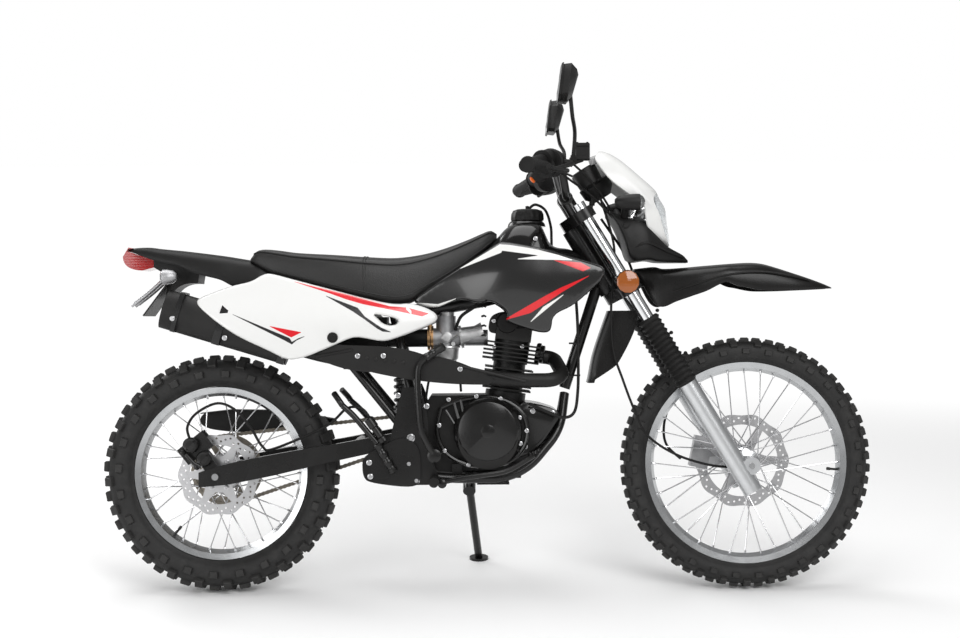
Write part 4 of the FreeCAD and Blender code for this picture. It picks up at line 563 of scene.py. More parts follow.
def steady(first, last, steps):
    # Even places from the first to the last.
    return [first + (last - first) * step / steps for step in range(steps + 1)]


def stationsOf(form):
    # Each place along a form, with its floor, top and half width there.
    for x in steady(*form["span"]):
        yield x, *(flow(form[key], x) for key in ("floor", "top", "half"))


def solidLoft(form):
    # A closed body from its side profile, its widths and its section.
    rings = []
    for x, low, high, wide in stationsOf(form):
        right = [(x, -wide * place.x, low + (high - low) * place.y) for place in halfSection(form)]
        rings.append(right + flipped(reversed(right[1:-1]), -1))
    return Shape().loft(rings)


def shellLoft(form):
    # A thin trough that opens down, from its outer section and a wall thickness.
    rings = []
    for x, low, high, wide in stationsOf(form):
        outer = [(x, -wide * place.x, low + (high - low) * place.y) for place in halfSection(form)]
        outer += flipped(reversed(outer[:-1]), -1)
        thick = form["thick"]
        inner = [(x, y * (1 - thick / wide), low + (z - low) * (1 - thick / max(high - low, thick * 1.5)))
                 for x, y, z in outer]
        rings.append(outer + inner[::-1])
    return Shape().loft(rings)


def assembled(form, sides=(1,), shape=None):
    # A piece from its form, once on each side: turned parts, hoses along curves, bars, rounded slabs and bolts.
    shape = shape or Shape()
    for side in sides:
        for start, end, profile, count in form.get("turned", ()):
            shape.turned(*flipped((start, end), side), profile, count)
        for points, radii, steps, count in form.get("hoses", ()):
            shape.tube(curve(flipped(points, side), steps), radii, count)
        for points, radii, count in form.get("bars", ()):
            shape.tube(flipped(points, side), radii, count)
        for outline, levels, (middleX, middleZ) in form.get("slabs", ()):
            shape.loft([[(middleX + (x - middleX) * size, side * y, middleZ + (z - middleZ) * size)
                         for x, z in rounded(outline)] for y, size in levels])
        for y, radius, places in form.get("bolts", ()):
            for x, z in places:
                bolt(shape, (x, side * y, z), (0, side, 0), radius)
    return shape


def heightOf(recipe, points, value):
    # A height that follows pairs of x and z in millimetres along the machine, as a wire.
    curveNode = recipe.add("ShaderNodeFloatCurve")
    low, high = points[0][0], points[-1][0]
    bottom = min(z for _, z in points) - 1
    span = max(z for _, z in points) + 1 - bottom
    mapping = curveNode.mapping
    line = mapping.curves[0]
    for index, (x, z) in enumerate(points):
        place = ((x - low) / (high - low), (z - bottom) / span)
        if index in (0, len(points) - 1):
            line.points[0 if index == 0 else 1].location = place
        else:
            line.points.new(*place)
    for point in line.points:
        point.handle_type = "VECTOR"
    mapping.update()
    recipe.feed(curveNode.inputs["Value"], (value - low) / (high - low))
    return Wire(recipe, curveNode.outputs[0]) * span + bottom


def band(recipe, x, z, lower, upper, edge=0.8):
    # One where a place lies between two lines over their common length, and nought elsewhere.
    above = (z - heightOf(recipe, lower, x)).ramp(-edge, edge)
    below = (heightOf(recipe, upper, x) - z).ramp(-edge, edge)
    start, end = max(lower[0][0], upper[0][0]), min(lower[-1][0], upper[-1][0])
    return above * below * x.ramp(start - edge, start + edge) * x.ramp(end + edge, end - edge)


# seat

seatForm = {
    "span": (-622, 40, 90),
    "top": [(-622, 902), (-612, 918), (-596, 927), (-560, 926), (-500, 918), (-400, 912), (-300, 905), (-230, 903),
            (-160, 912), (-100, 928), (-40, 950), (0, 967), (24, 975), (40, 966)],
    "floor": [(-622, 893), (-560, 858), (-500, 840), (-400, 813), (-320, 792), (-250, 777), (-200, 780),
              (-160, 803), (-110, 834), (-60, 868), (0, 915), (40, 950)],
    "half": [(-622, 70), (-600, 82), (-492, 102), (-359, 112), (-212, 98), (-78, 68), (0, 52), (40, 34)],
    "section": [(0, 0), (0.82, 0), (0.95, 0.03), (1.0, 0.14), (1.01, 0.42), (0.985, 0.68), (0.93, 0.83), (0.83, 0.925),
                (0.62, 0.965), (0.34, 0.99), (0, 1.0)],
    "seams": ((-612, 28, 0.945, 0.84, 2.2), (-600, 25, 1.005, 0.16, 1.6)),
    "crossSeams": (-318, -311),
    "crossSeamStart": 9,
    "seamLift": 0.6,
}


def seatPlace(x, aside, rise):
    # A place on the cushion from shares of its half width and height.
    low, high = flow(seatForm["floor"], x), flow(seatForm["top"], x)
    return x, flow(seatForm["half"], x) * aside, low + (high - low) * rise


def seatCover():
    # The cushion with a piped edge above, a seam below and a double seam across.
    shape = solidLoft(seatForm)
    for side in both:
        for first, last, aside, rise, radius in seatForm["seams"]:
            shape.tube([seatPlace(x, side * aside, rise) for x in steady(first, last, 60)], radius, 8)
    for x in seatForm["crossSeams"]:
        over = halfSection(seatForm)[seatForm["crossSeamStart"]:]
        right = [(x, -y, z + seatForm["seamLift"]) for x, y, z in (seatPlace(x, place.x, place.y) for place in over)]
        shape.tube(right + flipped(reversed(right[:-1]), -1), 1.5, 8)
    return shape


def seatVinyl():
    # Grained vinyl, a little shinier where it is sat on, with faint ripples across it in places.
    recipe = Recipe("seatVinyl")
    x, _, z = recipe.axes()
    pebble = recipe.cells(430.0)
    fine = recipe.noise(900.0, 4.0, 0.6)
    polish = recipe.noise(5.0, 3.0, 0.5).ramp(0.35, 0.7)
    pucker = (x * 520.0).maths("SINE") * recipe.noise(9.0).ramp(0.3, 0.8) * 0.12
    dust = recipe.noise(24.0, 5.0, 0.7).ramp(0.5, 0.85)
    shade = recipe.mix(dust * 0.4, (0.0050, 0.0046, 0.0043), (0.012, 0.0115, 0.011))
    return recipe.finish(colour=shade, roughness=polish * -0.08 + fine * 0.12 + 0.44,
                         normal=recipe.bump(pebble * 0.7 + fine * 0.3 + pucker, 0.55, 0.0008))


seat = keepPiece("seatCushion", "chassis", seatCover(), seatVinyl(), ["seat"])
print("seat")

# tank and its shrouds

tankForm = {
    "span": (-62, 284, 76),
    "top": [(-62, 868), (-20, 905), (20, 936), (42, 956), (60, 976), (80, 991), (100, 998), (122, 1000), (145, 998),
            (162, 986), (172, 965), (182, 943), (200, 930), (236, 924), (262, 912), (284, 890)],
    "floor": [(-62, 800), (20, 782), (240, 782), (284, 800)],
    "half": [(-62, 46), (24, 86), (116, 114), (165, 110), (200, 84), (232, 58), (284, 48)],
    "section": [(0, 0), (0.86, 0), (0.97, 0.03), (1.0, 0.12), (1.0, 0.34), (0.97, 0.54), (0.90, 0.72), (0.78, 0.85),
                (0.60, 0.94), (0.34, 0.985), (0, 1.0)],
    "turned": [((122, 0, 985), (122, 0, 1004), [(0, 52), (8, 50), (14, 45), (17, 40), (17, 0)], 40)],
}


capForm = {
    "x": 124,
    "flutes": 12,
    "rings": ((998, 30, 0), (1002, 44, 0), (1006, 46, 1.6), (1020, 45, 2.2), (1029, 40, 1.6), (1033, 28, 0),
              (1034, 2, 0)),
    "turned": [((124, 0, 1030), (124, 0, 1044), [(0, 8), (4, 8), (5, 5), (12, 5), (13, 0)], 16)],
}


def capRing(height, radius, flute):
    ring = []
    for step in range(96):
        turn = math.tau * step / 96
        reach = radius - flute * (1 + math.cos(capForm["flutes"] * turn)) / 2
        ring.append((capForm["x"] + reach * math.cos(turn), reach * math.sin(turn), height))
    return ring


# A fluted filler cap with a vent nipple.
fillerCap = assembled(capForm).loft([capRing(*ring) for ring in capForm["rings"]])
keepPiece("fillerCap", "chassis", fillerCap, "blackPlastic", ["fuel_cap"])


# The stations give a panel's half width at a few heights.
shroudForm = {
    "spacing": 10,
    "roll": 7,
    "thick": 3.5,
    "holes": (),
    "outline": [(-196, 782), (-130, 828), (-58, 874), (0, 910), (46, 940), (72, 938), (110, 931), (165, 920),
                (240, 897), (290, 881), (324, 868), (317, 838), (292, 814), (240, 769), (186, 745), (181, 704),
                (168, 697), (140, 700), (60, 727), (67, 745), (58, 762), (20, 785), (-10, 775), (-60, 791),
                (-125, 762)],
    "stations": [(-205, [(700, 92), (800, 94), (960, 84)]), (-60, [(700, 104), (790, 118), (870, 112), (960, 82)]),
                 (60, [(690, 126), (780, 142), (860, 147), (920, 128), (960, 108)]),
                 (190, [(690, 132), (770, 147), (850, 153), (910, 142), (960, 120)]),
                 (335, [(700, 136), (800, 147), (870, 150), (960, 132)])],
}


def tankGraphics():
    # Gloss black with a white arrow stripe, two red flashes and a white wedge.
    recipe = Recipe("tankBlack")
    x, _, z = (axis * 1000.0 for axis in recipe.axes())
    arrow = band(recipe, x, z, [(-58.5, 869), (-3, 888), (50, 910), (53, 915.5), (140, 903), (150, 900), (237, 888)],
                 [(-58.5, 870.5), (-3, 900.8), (47, 932.6), (70, 931), (109, 924.4), (148, 917), (202, 902),
                  (237, 889.4)])
    barb = band(recipe, x, z, [(94, 892), (148, 893.4), (237, 888)],
                [(94, 893.4), (140, 903.5), (160, 903), (237, 890)])
    wedge = band(recipe, x, z, [(-195, 780), (-160, 771), (-131, 761.5), (-71, 788.5)],
                 [(-195, 781.6), (-143, 776), (-119, 775), (-71, 790)])
    edging = band(recipe, x, z, [(127, 726), (138, 741), (165, 757), (213, 796.4)],
                  [(127, 728), (131, 747), (160, 766), (213, 798)])
    flash = band(recipe, x, z, [(190, 887.8), (226, 880), (265, 858.5), (284.5, 867)],
                 [(190, 888.8), (237, 888.3), (260, 881.5), (284.5, 868.4)])
    blade = band(recipe, x, z, [(57, 731), (123, 726), (126.5, 750), (163.6, 773.7), (210, 804.6), (280, 845.6)],
                 [(57, 733), (101, 758.5), (163.6, 794), (206, 816), (280, 847)])
    mask = dustyMask(recipe, 6.0)
    white = arrow.most(barb).most(wedge).most(edging)
    shade = recipe.mix(flash.most(blade), (0.0065, 0.0063, 0.0062), (0.62, 0.006, 0.012))
    shade = recipe.mix(white, shade, (0.74, 0.74, 0.72))
    peel = recipe.noise(700.0, 2.0, 0.5)
    return recipe.finish(colour=shade, roughness=mask * 0.07 + 0.16, coat=0.4, coatRoughness=0.06,
                         normal=recipe.bump(peel, 0.05, 0.0003))


tankShell = assembled(tankForm, (1,), solidLoft(tankForm))
shrouds = skin(shroudForm).mirror()
keepPiece("tankShell", "chassis", tankShell, "glossBlack", ["fuel_tank"])
keepPiece("tankShrouds", "chassis", shrouds, tankGraphics(), ["tank_shrouds"])
print("tank")

# side panels

panelForm = {
    "spacing": 10,
    "roll": 8,
    "thick": 3.5,
    "outline": [(-118, 738), (-130, 723), (-240, 681), (-270, 678), (-320, 689), (-345, 689), (-400, 665),
                (-460, 640), (-500, 631), (-524, 636), (-560, 655), (-640, 692), (-690, 724), (-742, 765),
                (-756, 782), (-750, 795), (-700, 815), (-660, 828), (-612, 838), (-585, 855), (-570, 860),
                (-550, 857), (-500, 843), (-400, 816), (-320, 794), (-250, 778), (-220, 776), (-200, 778),
                (-180, 776), (-150, 766), (-125, 752)],
    "holes": ([(-289, 750), (-276, 738), (-263, 725), (-245, 719), (-228, 722), (-223, 732), (-232, 739),
               (-258, 745)],),
    "stations": [(-770, [(600, 172), (700, 170), (745, 162), (800, 142), (870, 124)]),
                 (-520, [(600, 174), (700, 171), (745, 164), (800, 146), (870, 124)]),
                 (-300, [(640, 158), (720, 156), (750, 151), (790, 136), (870, 112)]),
                 (-105, [(640, 126), (740, 124), (780, 116), (870, 96)])],
}


def panelGraphics():
    # White with a red flash along the top, a painted pink highlight along the flash's upper edge, a black flash under
    # it and two small darts.
    recipe = Recipe("panelWhite")
    x, _, z = (axis * 1000.0 for axis in recipe.axes())
    red = band(recipe, x, z, [(-497, 836.4), (-478, 830), (-408, 807), (-361, 789.7), (-315, 776), (-245, 761.7),
                              (-160, 743), (-142, 750)],
               [(-497, 837.4), (-478, 832.5), (-361, 802.5), (-245, 770.5), (-198, 766.5), (-142, 751)])
    slot = band(recipe, x, z, [(-202, 762), (-194, 752), (-188, 748)], [(-202, 775), (-196, 766), (-188, 757)])
    # A thin band of painted pink highlight just above the red flash's upper edge.
    glint = band(recipe, x, z, [(-497, 837.5), (-361, 804.5), (-255, 775)],
                 [(-497, 838.5), (-361, 808.5), (-255, 776.2)])
    dart = band(recipe, x, z, [(-558, 719), (-525, 703.6), (-501.7, 690), (-476, 702.6)],
                [(-558, 720.4), (-511, 705), (-476, 704)])
    black = band(recipe, x, z, [(-413, 798), (-371, 775.6), (-343, 758), (-315, 739), (-277.7, 711.5),
                                (-263.6, 703.6), (-242, 701.6)],
                 [(-413, 799.4), (-371, 779), (-329, 767), (-310, 744), (-268, 715), (-242, 702.8)])
    barb = band(recipe, x, z, [(-656, 751), (-581, 714.3), (-520.4, 683), (-500, 671.7), (-487.6, 682), (-466.6, 692)],
                [(-656, 752.2), (-581, 717.6), (-506, 688.7), (-500, 678.7), (-483, 688), (-466.6, 693.4)])
    mask = dustyMask(recipe, 5.0)
    grime = recipe.noise(30.0, 5.0, 0.7).ramp(0.55, 0.9)
    base = recipe.mix(mask * 0.35 + grime * 0.15, (0.70, 0.70, 0.69), (0.62, 0.62, 0.605))
    # Paints the pink highlight over the white.
    shade = recipe.mix(glint * 0.7, base, (0.80, 0.30, 0.30))
    shade = recipe.mix(red.most(dart) - slot.least(red), shade, (0.60, 0.006, 0.014))
    shade = recipe.mix(black.most(barb), shade, (0.012, 0.012, 0.013))
    peel = recipe.noise(650.0, 2.0, 0.5)
    return recipe.finish(colour=shade, roughness=mask * 0.06 + grime * 0.08 + 0.20, coat=0.3, coatRoughness=0.08,
                         normal=recipe.bump(peel, 0.05, 0.0003))


keepPiece("sidePanels", "chassis", skin(panelForm).mirror(), panelGraphics(), ["side_panels"])
print("side panels")

# tail and front mudguard

tailForm = {
    "span": (-952, -560, 60),
    "thick": 3.5,
    "top": [(-952, 931), (-935, 934), (-900, 935), (-868, 931), (-800, 924), (-700, 911), (-640, 901), (-560, 888)],
    "floor": [(-952, 926), (-930, 916), (-895, 903), (-860, 893), (-820, 884), (-790, 870), (-750, 857), (-700, 844),
              (-662, 826), (-620, 832), (-560, 850)],
    "half": [(-952, 40), (-935, 56), (-866, 74), (-730, 87), (-600, 80), (-560, 66)],
    "section": [(1.0, 0), (1.02, 0.15), (0.99, 0.45), (0.92, 0.72), (0.78, 0.9), (0.5, 0.98), (0, 1.0)],
}


keepPiece("tailFender", "chassis", shellLoft(tailForm), "blackPlastic", ["tail_fender"])

guardForm = {
    "span": (412, 944, 80),
    "thick": 3.5,
    "top": [(412, 868), (440, 871), (470, 873), (490, 868), (540, 870), (600, 875), (700, 882), (740, 882), (770, 877),
            (850, 851), (905, 831), (944, 815)],
    "floor": [(412, 862), (425, 845), (440, 812), (462, 775), (485, 764), (520, 778), (560, 792), (600, 806),
              (640, 826), (655, 830), (680, 820), (700, 816), (745, 807), (800, 806), (870, 808), (925, 810),
              (944, 811)],
    "half": [(412, 30), (440, 46), (476, 60), (540, 76), (598, 86), (731, 92), (820, 86), (880, 74), (925, 56),
             (944, 38)],
    "section": [(1.0, 0), (1.02, 0.2), (1.0, 0.5), (0.93, 0.74), (0.78, 0.90), (0.46, 0.97), (0.2, 1.0), (0, 1.0)],
    "flapSpan": (560, 755, 24),
    "flapHalf": 49,
    "flapEdge": ((14, -48), (4, -43), (0, -33), (0, 0)),
    "flapInner": (3.5, 0.93, 45.5),
    "flapRear": [(560, 283), (570, 286), (640, 301), (755, 341)],
    "flapFront": [(560, 289), (600, 350), (615, 366), (700, 409), (755, 420)],
    "hoses": [([(496, 62, 800), (560, 84, 822), (650, 93, 848), (740, 95, 856), (820, 88, 846), (880, 74, 832)],
               ([1], 2.6, [1]), 6, 8)],
}


def frontGuard():
    # The mudguard with a bead along each side, and the flap behind the wheel.
    shape = assembled(guardForm, both, shellLoft(guardForm))
    half, (thick, squeeze, innerHalf) = guardForm["flapHalf"], guardForm["flapInner"]
    rings = []
    for z in steady(*guardForm["flapSpan"]):
        rear, front = flow(guardForm["flapRear"], z), flow(guardForm["flapFront"], z)
        outer = [(front, -half), ((front + rear) / 2, -half)]
        outer += [(rear + ahead, y) for ahead, y in guardForm["flapEdge"]]
        outer += [(x, -y) for x, y in reversed(outer[:-1])]
        inner = [(x + thick, y * squeeze) for x, y in outer]
        inner[0], inner[-1] = (front, -innerHalf), (front, innerHalf)
        rings.append([(x, y, z) for x, y in outer + inner[::-1]])
    return shape.loft(rings)


keepPiece("frontGuard", "steering", frontGuard(), "glossPlastic", ["front_mudguard"])
print("tail and mudguard")

# wheels

tyreForm = {
    "section": [(0, 0, 0), (0.18, 0.018, 0.36), (0.34, 0.085, 0.66), (0.48, 0.215, 0.88), (0.60, 0.38, 0.985),
                (0.70, 0.53, 1.0), (0.80, 0.70, 0.93), (0.90, 0.86, 0.76), (0.95, 0.93, 0.66), (1.0, 1.0, 0.60)],
    "strip": (0.84, 0.90, 1.2),
    "lugLevels": ((-2.0, 0, 1.05), (0, 0.35, 1.0), (0, 0.84, 0.93), (0, 1, 0.80)),
    "lugCorners": ((-1, -1), (1, -1), (1, 1), (-1, 1)),
    "stagger": 0.25,
    "shoulder": (0.6, 0.72),
    "valve": [(0, 5), (4, 5), (5, 3.2), (26, 3.2), (27, 4.2), (36, 4.2), (37, 2)],
}
discForm = {
    "waves": 10,
    "waveDepth": 3.0,
    "holes": ((9, 0.0), (15, 0.2), (21, 0.4), (13, 0.6), (20, 0.8)),
    "holeRadius": 3.1,
    "band": 31,
    "arms": 6,
    "openings": (0.10, 0.32),
    "openingRise": 8,
    "boreRise": 14,
    "thick": 4,
    "boltRadius": 5,
}
spokeForm = {
    "count": 36,
    "pull": math.radians(58),
    "flangeInset": (5, 2),
    "rimShare": 0.22,
    "elbow": (5, 3),
    "nippleDepth": 17,
    "wire": [1.7, 1.8, 1.8, 1.6],
    "nipple": [(0, 2.2), (2, 3.1), (11, 3.1), (11, 2.6), (18, 2.6)],
}
wheels = {
    "front": {"axle": (712, 0, 340), "bead": 274, "crown": 330, "half": 36, "lug": 10, "count": 31,
              "rows": [(0.13, 0.10, 0.165, 0.0), (0.42, 0.11, 0.15, 0.5), (0.66, 0.07, 0.17, 0.0)],
              "rim": 259, "rimHalf": 23, "flange": 33, "hubHalf": 38, "disc": (130, 44.3, 36),
              "valve": -5},
    "rear": {"axle": (-712, 0, 321), "bead": 236, "crown": 308, "half": 49, "lug": 13, "count": 24,
             "rows": [(0.13, 0.11, 0.17, 0.0), (0.43, 0.11, 0.155, 0.5), (0.68, 0.07, 0.17, 0.0)],
             "rim": 220, "rimHalf": 29, "flange": 46, "hubHalf": 52, "disc": (111, -58.3, 40),
             "valve": 232},
}


def onCarcass(wheel, value):
    # Radius and side of a share that runs from -1 at one bead over the crown to 1 at the other.
    drop, side = (flow([(row[0], row[column]) for row in tyreForm["section"]], abs(value)) for column in (1, 2))
    return Vector((wheel["crown"] - (wheel["crown"] - wheel["bead"]) * drop,
                   math.copysign(wheel["half"] * side, value)))


def onTyre(wheel, share, angle, lift):
    place = onCarcass(wheel, share)
    run = (onCarcass(wheel, share + 0.01) - onCarcass(wheel, share - 0.01)).normalized()
    radius, side = place.x + run.y * lift, place.y - run.x * lift
    return Vector(wheel["axle"]) + Vector((radius * math.cos(angle), side, radius * math.sin(angle)))


def tyreMesh(wheel):
    # The carcass with its rubbing strips, three rows of lugs on each side and the valve.
    centre = Vector(wheel["axle"])
    shape = Shape()
    rows = 4 * wheel["count"]
    low, high, proud = tyreForm["strip"]
    around = []
    for row in range(rows):
        angle = math.tau * row / rows
        ring = [onTyre(wheel, share, angle, proud if low < abs(share) < high else 0.0) for share in steady(-1, 1, 40)]
        around.append(ring + [centre + Vector((math.cos(angle), 0, math.sin(angle))) * (wheel["bead"] - 1)])
    shape.loft(around + around[:1], capped=False)
    pitch, (shoulder, lower) = math.tau / wheel["count"], tyreForm["shoulder"]
    for middle, halfShare, halfTurn, phase in wheel["rows"]:
        lift = wheel["lug"] * (lower if middle > shoulder else 1.0)
        for side in both:
            for index in range(wheel["count"]):
                angle = (index + phase + side * tyreForm["stagger"]) * pitch
                shape.loft([[onTyre(wheel, side * (middle + wide * halfShare * size),
                                    angle + along * halfTurn * pitch * size, sunk + lift * part)
                             for wide, along in tyreForm["lugCorners"]] for sunk, part, size in tyreForm["lugLevels"]])
    lean = math.radians(wheel["valve"])
    out = Vector((math.cos(lean), 0, math.sin(lean)))
    return shape.turned(centre + out * (wheel["rim"] + 2), centre + out * (wheel["rim"] - 34),
                        tyreForm["valve"], 10)


def tyreRubber():
    # Dusty black rubber, scuffed paler on the lugs' tops.
    recipe = Recipe("lugRubber")
    grit = recipe.noise(240.0, 6.0, 0.7)
    scuff = recipe.noise(38.0, 5.0, 0.7).ramp(0.42, 0.74)
    edge = recipe.worn()
    shade = recipe.mix(scuff * 0.6 + edge * 0.35, (0.0055, 0.0052, 0.0050), (0.020, 0.019, 0.018))
    return recipe.finish(colour=shade, roughness=grit * 0.18 + 0.58,
                         normal=recipe.bump(grit * 0.6 + recipe.cells(90.0) * 0.4, 0.35, 0.0009))


def plate(loops, side, thick):
    # A flat plate across the axle, from an outline and its openings as pairs of x and z.
    points, faces = cutOut([[Vector(place) for place in loop] for loop in loops], [])
    count = len(points)
    walls = [(start, end, end + count, start + count) for start, end in rimOf(faces)]
    return Shape().join([(p.x, side - thick / 2, p.y) for p in points] + [(p.x, side + thick / 2, p.y) for p in points],
                        [face[::-1] for face in faces] + [tuple(index + count for index in face) for face in faces]
                        + walls)


def ringOf(centre, radius, count, wave=0.0, waves=0):
    return [polar(centre, radius + wave * math.cos(waves * turn), turn)
            for turn in (math.tau * step / count for step in range(count))]


def polar(middle, radius, turn):
    return middle[0] + radius * math.cos(turn), middle[1] + radius * math.sin(turn)


def discMesh(wheel):
    # A wave disc with drilled rows, on arms that leave openings between them.
    outer, side, hub = wheel["disc"]
    middle = (wheel["axle"][0], wheel["axle"][2])
    waves, deep, arms = discForm["waves"], discForm["waveDepth"], discForm["arms"]
    loops = [ringOf(middle, outer - deep, 160, deep, waves)]
    for index in range(waves):
        for inward, turn in discForm["holes"]:
            hole = polar(middle, outer - inward, math.tau * (index + turn) / waves)
            loops.append(ringOf(hole, discForm["holeRadius"], 8))
    far, near = outer - discForm["band"], hub + discForm["openingRise"]
    farGap, nearGap = discForm["openings"]
    for index in range(arms):
        start, end = math.tau * index / arms, math.tau * (index + 1) / arms
        loops.append([polar(middle, far, turn) for turn in steady(start + farGap, end - farGap, 10)]
                     + [polar(middle, near, turn) for turn in steady(end - nearGap, start + nearGap, 6)])
    loops.append(ringOf(middle, hub - discForm["boreRise"], 40))
    shape = plate(loops, side, discForm["thick"])
    outward = math.copysign(1, side)
    for index in range(arms):
        x, z = polar(middle, hub, math.tau * index / arms)
        bolt(shape, (x, side + outward * discForm["thick"] / 2, z), (0, outward, 0), discForm["boltRadius"])
    return shape


def spokeMesh(wheel):
    # Crossed spokes, each with an elbow at the flange and a nipple at the rim.
    (x, _, z), shape = wheel["axle"], Shape()
    for index in range(spokeForm["count"]):
        angle = math.tau * index / spokeForm["count"]
        side, pulls = (1 if index % 2 else -1), (index // 2) % 2
        hookX, hookZ = polar((x, z), wheel["flange"], angle + spokeForm["pull"] * (1 if pulls else -1))
        seatX, seatZ = polar((x, z), wheel["rim"], angle)
        hook = Vector((hookX, side * (wheel["hubHalf"] - spokeForm["flangeInset"][pulls]), hookZ))
        seat = Vector((seatX, side * wheel["rimHalf"] * spokeForm["rimShare"], seatZ))
        run = (seat - hook).normalized()
        inward, onward = spokeForm["elbow"]
        shape.tube([hook + Vector((0, -side * inward, 0)), hook, hook + run * onward, seat], spokeForm["wire"], 6)
        shape.turned(seat - run * spokeForm["nippleDepth"], seat, spokeForm["nipple"], 8)
    return shape


rubberTread = tyreRubber()
for end, wheel in wheels.items():
    keepPiece(end + "Tyre", end + "_wheel", tyreMesh(wheel), rubberTread, [end + "_tyre"])
    keepPiece(end + "Spokes", end + "_wheel", spokeMesh(wheel), "spokeSteel", [end + "_spokes"])
    keepPiece(end + "Disc", end + "_wheel", discMesh(wheel), "steel", [end + "_disc"])
print("wheels")


chainForm = {
    "pitch": 12.7,
    "side": 78,
    "rear": (Vector((-712, 321)), 95.1),
    "front": (Vector((-130, 447)), 31.0),
    "plateEnd": 5.3,
    "plateWaist": 3.9,
    "plateThick": 1.5,
    "offsets": (4.4, 6.2),
    "pinHalf": 7.6,
    "pin": [(0, 1.9), (0.6, 2.4), (4, 2.4), (4, 4.2), (11.2, 4.2), (11.2, 2.4), (14.6, 2.4), (15.2, 1.9)],
}


def chainPath():
    # Round both sprockets and straight between them, in the side view.
    (rear, rearRadius), (front, frontRadius) = chainForm["rear"], chainForm["front"]
    run = front - rear
    heading = math.atan2(run.y, run.x)
    tilt = math.acos((rearRadius - frontRadius) / run.length)
    path = [Vector(polar(rear, rearRadius, turn)) for turn in steady(heading + tilt, heading + math.tau - tilt, 40)]
    path += [Vector(polar(front, frontRadius, turn)) for turn in steady(heading - tilt, heading + tilt, 24)]
    return path + path[:1]


def chainMesh():
    # Roller chain round both sprockets, with its outer and inner plates in turn.
    path = chainPath()
    lengths = [0.0]
    for start, end in zip(path, path[1:]):
        lengths.append(lengths[-1] + (end - start).length)
    count = 2 * round(lengths[-1] / chainForm["pitch"] / 2)
    pins = []
    for pin in range(count):
        distance = lengths[-1] * pin / count
        index = next(i for i in range(len(path) - 1) if distance <= lengths[i + 1])
        part = (distance - lengths[index]) / max(lengths[index + 1] - lengths[index], 1e-9)
        pins.append(path[index].lerp(path[index + 1], part))
    shape = Shape()
    side, half, reach = chainForm["side"], chainForm["plateThick"] / 2, chainForm["pinHalf"]
    for index, start in enumerate(pins):
        end = pins[(index + 1) % count]
        along = (end - start).normalized() * chainForm["plateEnd"]
        up = Vector((-along.y, along.x))
        waist = up * (chainForm["plateWaist"] / chainForm["plateEnd"])
        outline = []
        for centre, first, bulge in ((end, -90, waist), (start, 90, -waist)):
            outline += [centre + along * math.cos(math.radians(angle)) + up * math.sin(math.radians(angle))
                        for angle in range(first, first + 181, 30)]
            outline.append((start + end) / 2 + bulge)
        for face in both:
            middle = side + face * chainForm["offsets"][index % 2]
            shape.loft([[(p.x, y, p.y) for p in outline] for y in (middle - half, middle + half)])
        shape.turned((start.x, side - reach, start.y), (start.x, side + reach, start.y), chainForm["pin"], 8)
    return shape


keepPiece("driveChain", "chassis", chainMesh(), "chain", ["drive_chain"])
print("chain")

# front end

maskForm = {
    "span": (928, 1184, 48),
    "glassSpan": (931, 1074, 24),
    "nose": [(928, 511), (940, 511), (990, 505), (1030, 498), (1055, 484), (1078, 473), (1117, 431), (1160, 381),
             (1178, 352), (1184, 334)],
    "rear": [(928, 500), (955, 469), (980, 445), (1010, 438), (1035, 431), (1060, 399), (1102, 346), (1148, 312),
             (1165, 307), (1184, 318)],
    "half": [(928, 30), (950, 66), (990, 94), (1040, 108), (1100, 112), (1150, 96), (1178, 70), (1184, 56)],
    "glass": [(928, 508), (960, 492), (1010, 474), (1052, 458), (1074, 472)],
    "glassTop": 1076,
    "noseCurve": 0.62,
    "sideCurve": 0.86,
}


def maskPlace(z, turn, inward):
    # A place on the headlight mask, where the turn goes from -1 at its right edge to 1 at its left one.
    nose, rear, half = (flow(maskForm[key], z) for key in ("nose", "rear", "half"))
    angle = turn * math.pi / 2
    return (rear + (nose - rear) * math.cos(angle)**maskForm["noseCurve"] - inward,
            (half - inward) * math.copysign(abs(math.sin(angle))**maskForm["sideCurve"], angle), z)


def glassTurn(z):
    # Where the lens meets the mask.
    if z > maskForm["glassTop"]:
        return 0.0
    nose, rear = flow(maskForm["nose"], z), flow(maskForm["rear"], z)
    share = min(1.0, max(0.0, (flow(maskForm["glass"], z) - rear) / max(nose - rear, 1)))
    return 2 / math.pi * math.acos(share**(1 / maskForm["noseCurve"]))


def maskSheet(span, columns, edges, depths):
    # Rings up the mask, from its outer face and back along its inner one.
    rings = []
    for z in steady(*span):
        outer, inner = ([maskPlace(z, turn, depth) for turn in steady(*edges(z), columns)] for depth in depths)
        rings.append(outer + inner[::-1])
    return rings


def glassEdges(z):
    end = max(glassTurn(z), 0.02)
    return -end, end


chinForm = {
    "span": (343, 558, 44),
    "top": [(343, 1022), (400, 1001), (440, 985), (470, 955), (500, 927), (545, 903), (558, 890)],
    "floor": [(343, 1012), (362, 985), (382, 938), (398, 893), (450, 891), (475, 886), (558, 884)],
    "half": [(343, 88), (390, 97), (440, 96), (480, 76), (530, 48), (558, 26)],
    "section": [(0, 0), (0.72, 0.0), (0.93, 0.06), (1.0, 0.3), (0.97, 0.7), (0.9, 0.95), (0.75, 1.0), (0, 1.0)],
    "bolts": [(95, 7, [(384, 982)])],
    "hoses": [([(398, 93, 915), (440, 98, 935), (500, 66, 912), (545, 40, 896)], ([1], 3, [1]), 6, 8)],
}
mask = Shape()
for side in both:
    mask.loft(maskSheet(maskForm["span"], 12, lambda z: (side, side * glassTurn(z)), (0.0, 3.0)))
glass = Shape().loft(maskSheet(maskForm["glassSpan"], 20, glassEdges, (1.0, 4.0)))
keepPiece("headlightChin", "steering", assembled(chinForm, both, solidLoft(chinForm)), "blackPlastic",
          ["headlight_chin"])
keepPiece("headlightMask", "steering", mask, "whiteGloss", ["headlight_cowl"])
keepPiece("headlightGlass", "steering", glass, "clearLens", ["headlight_lens"])

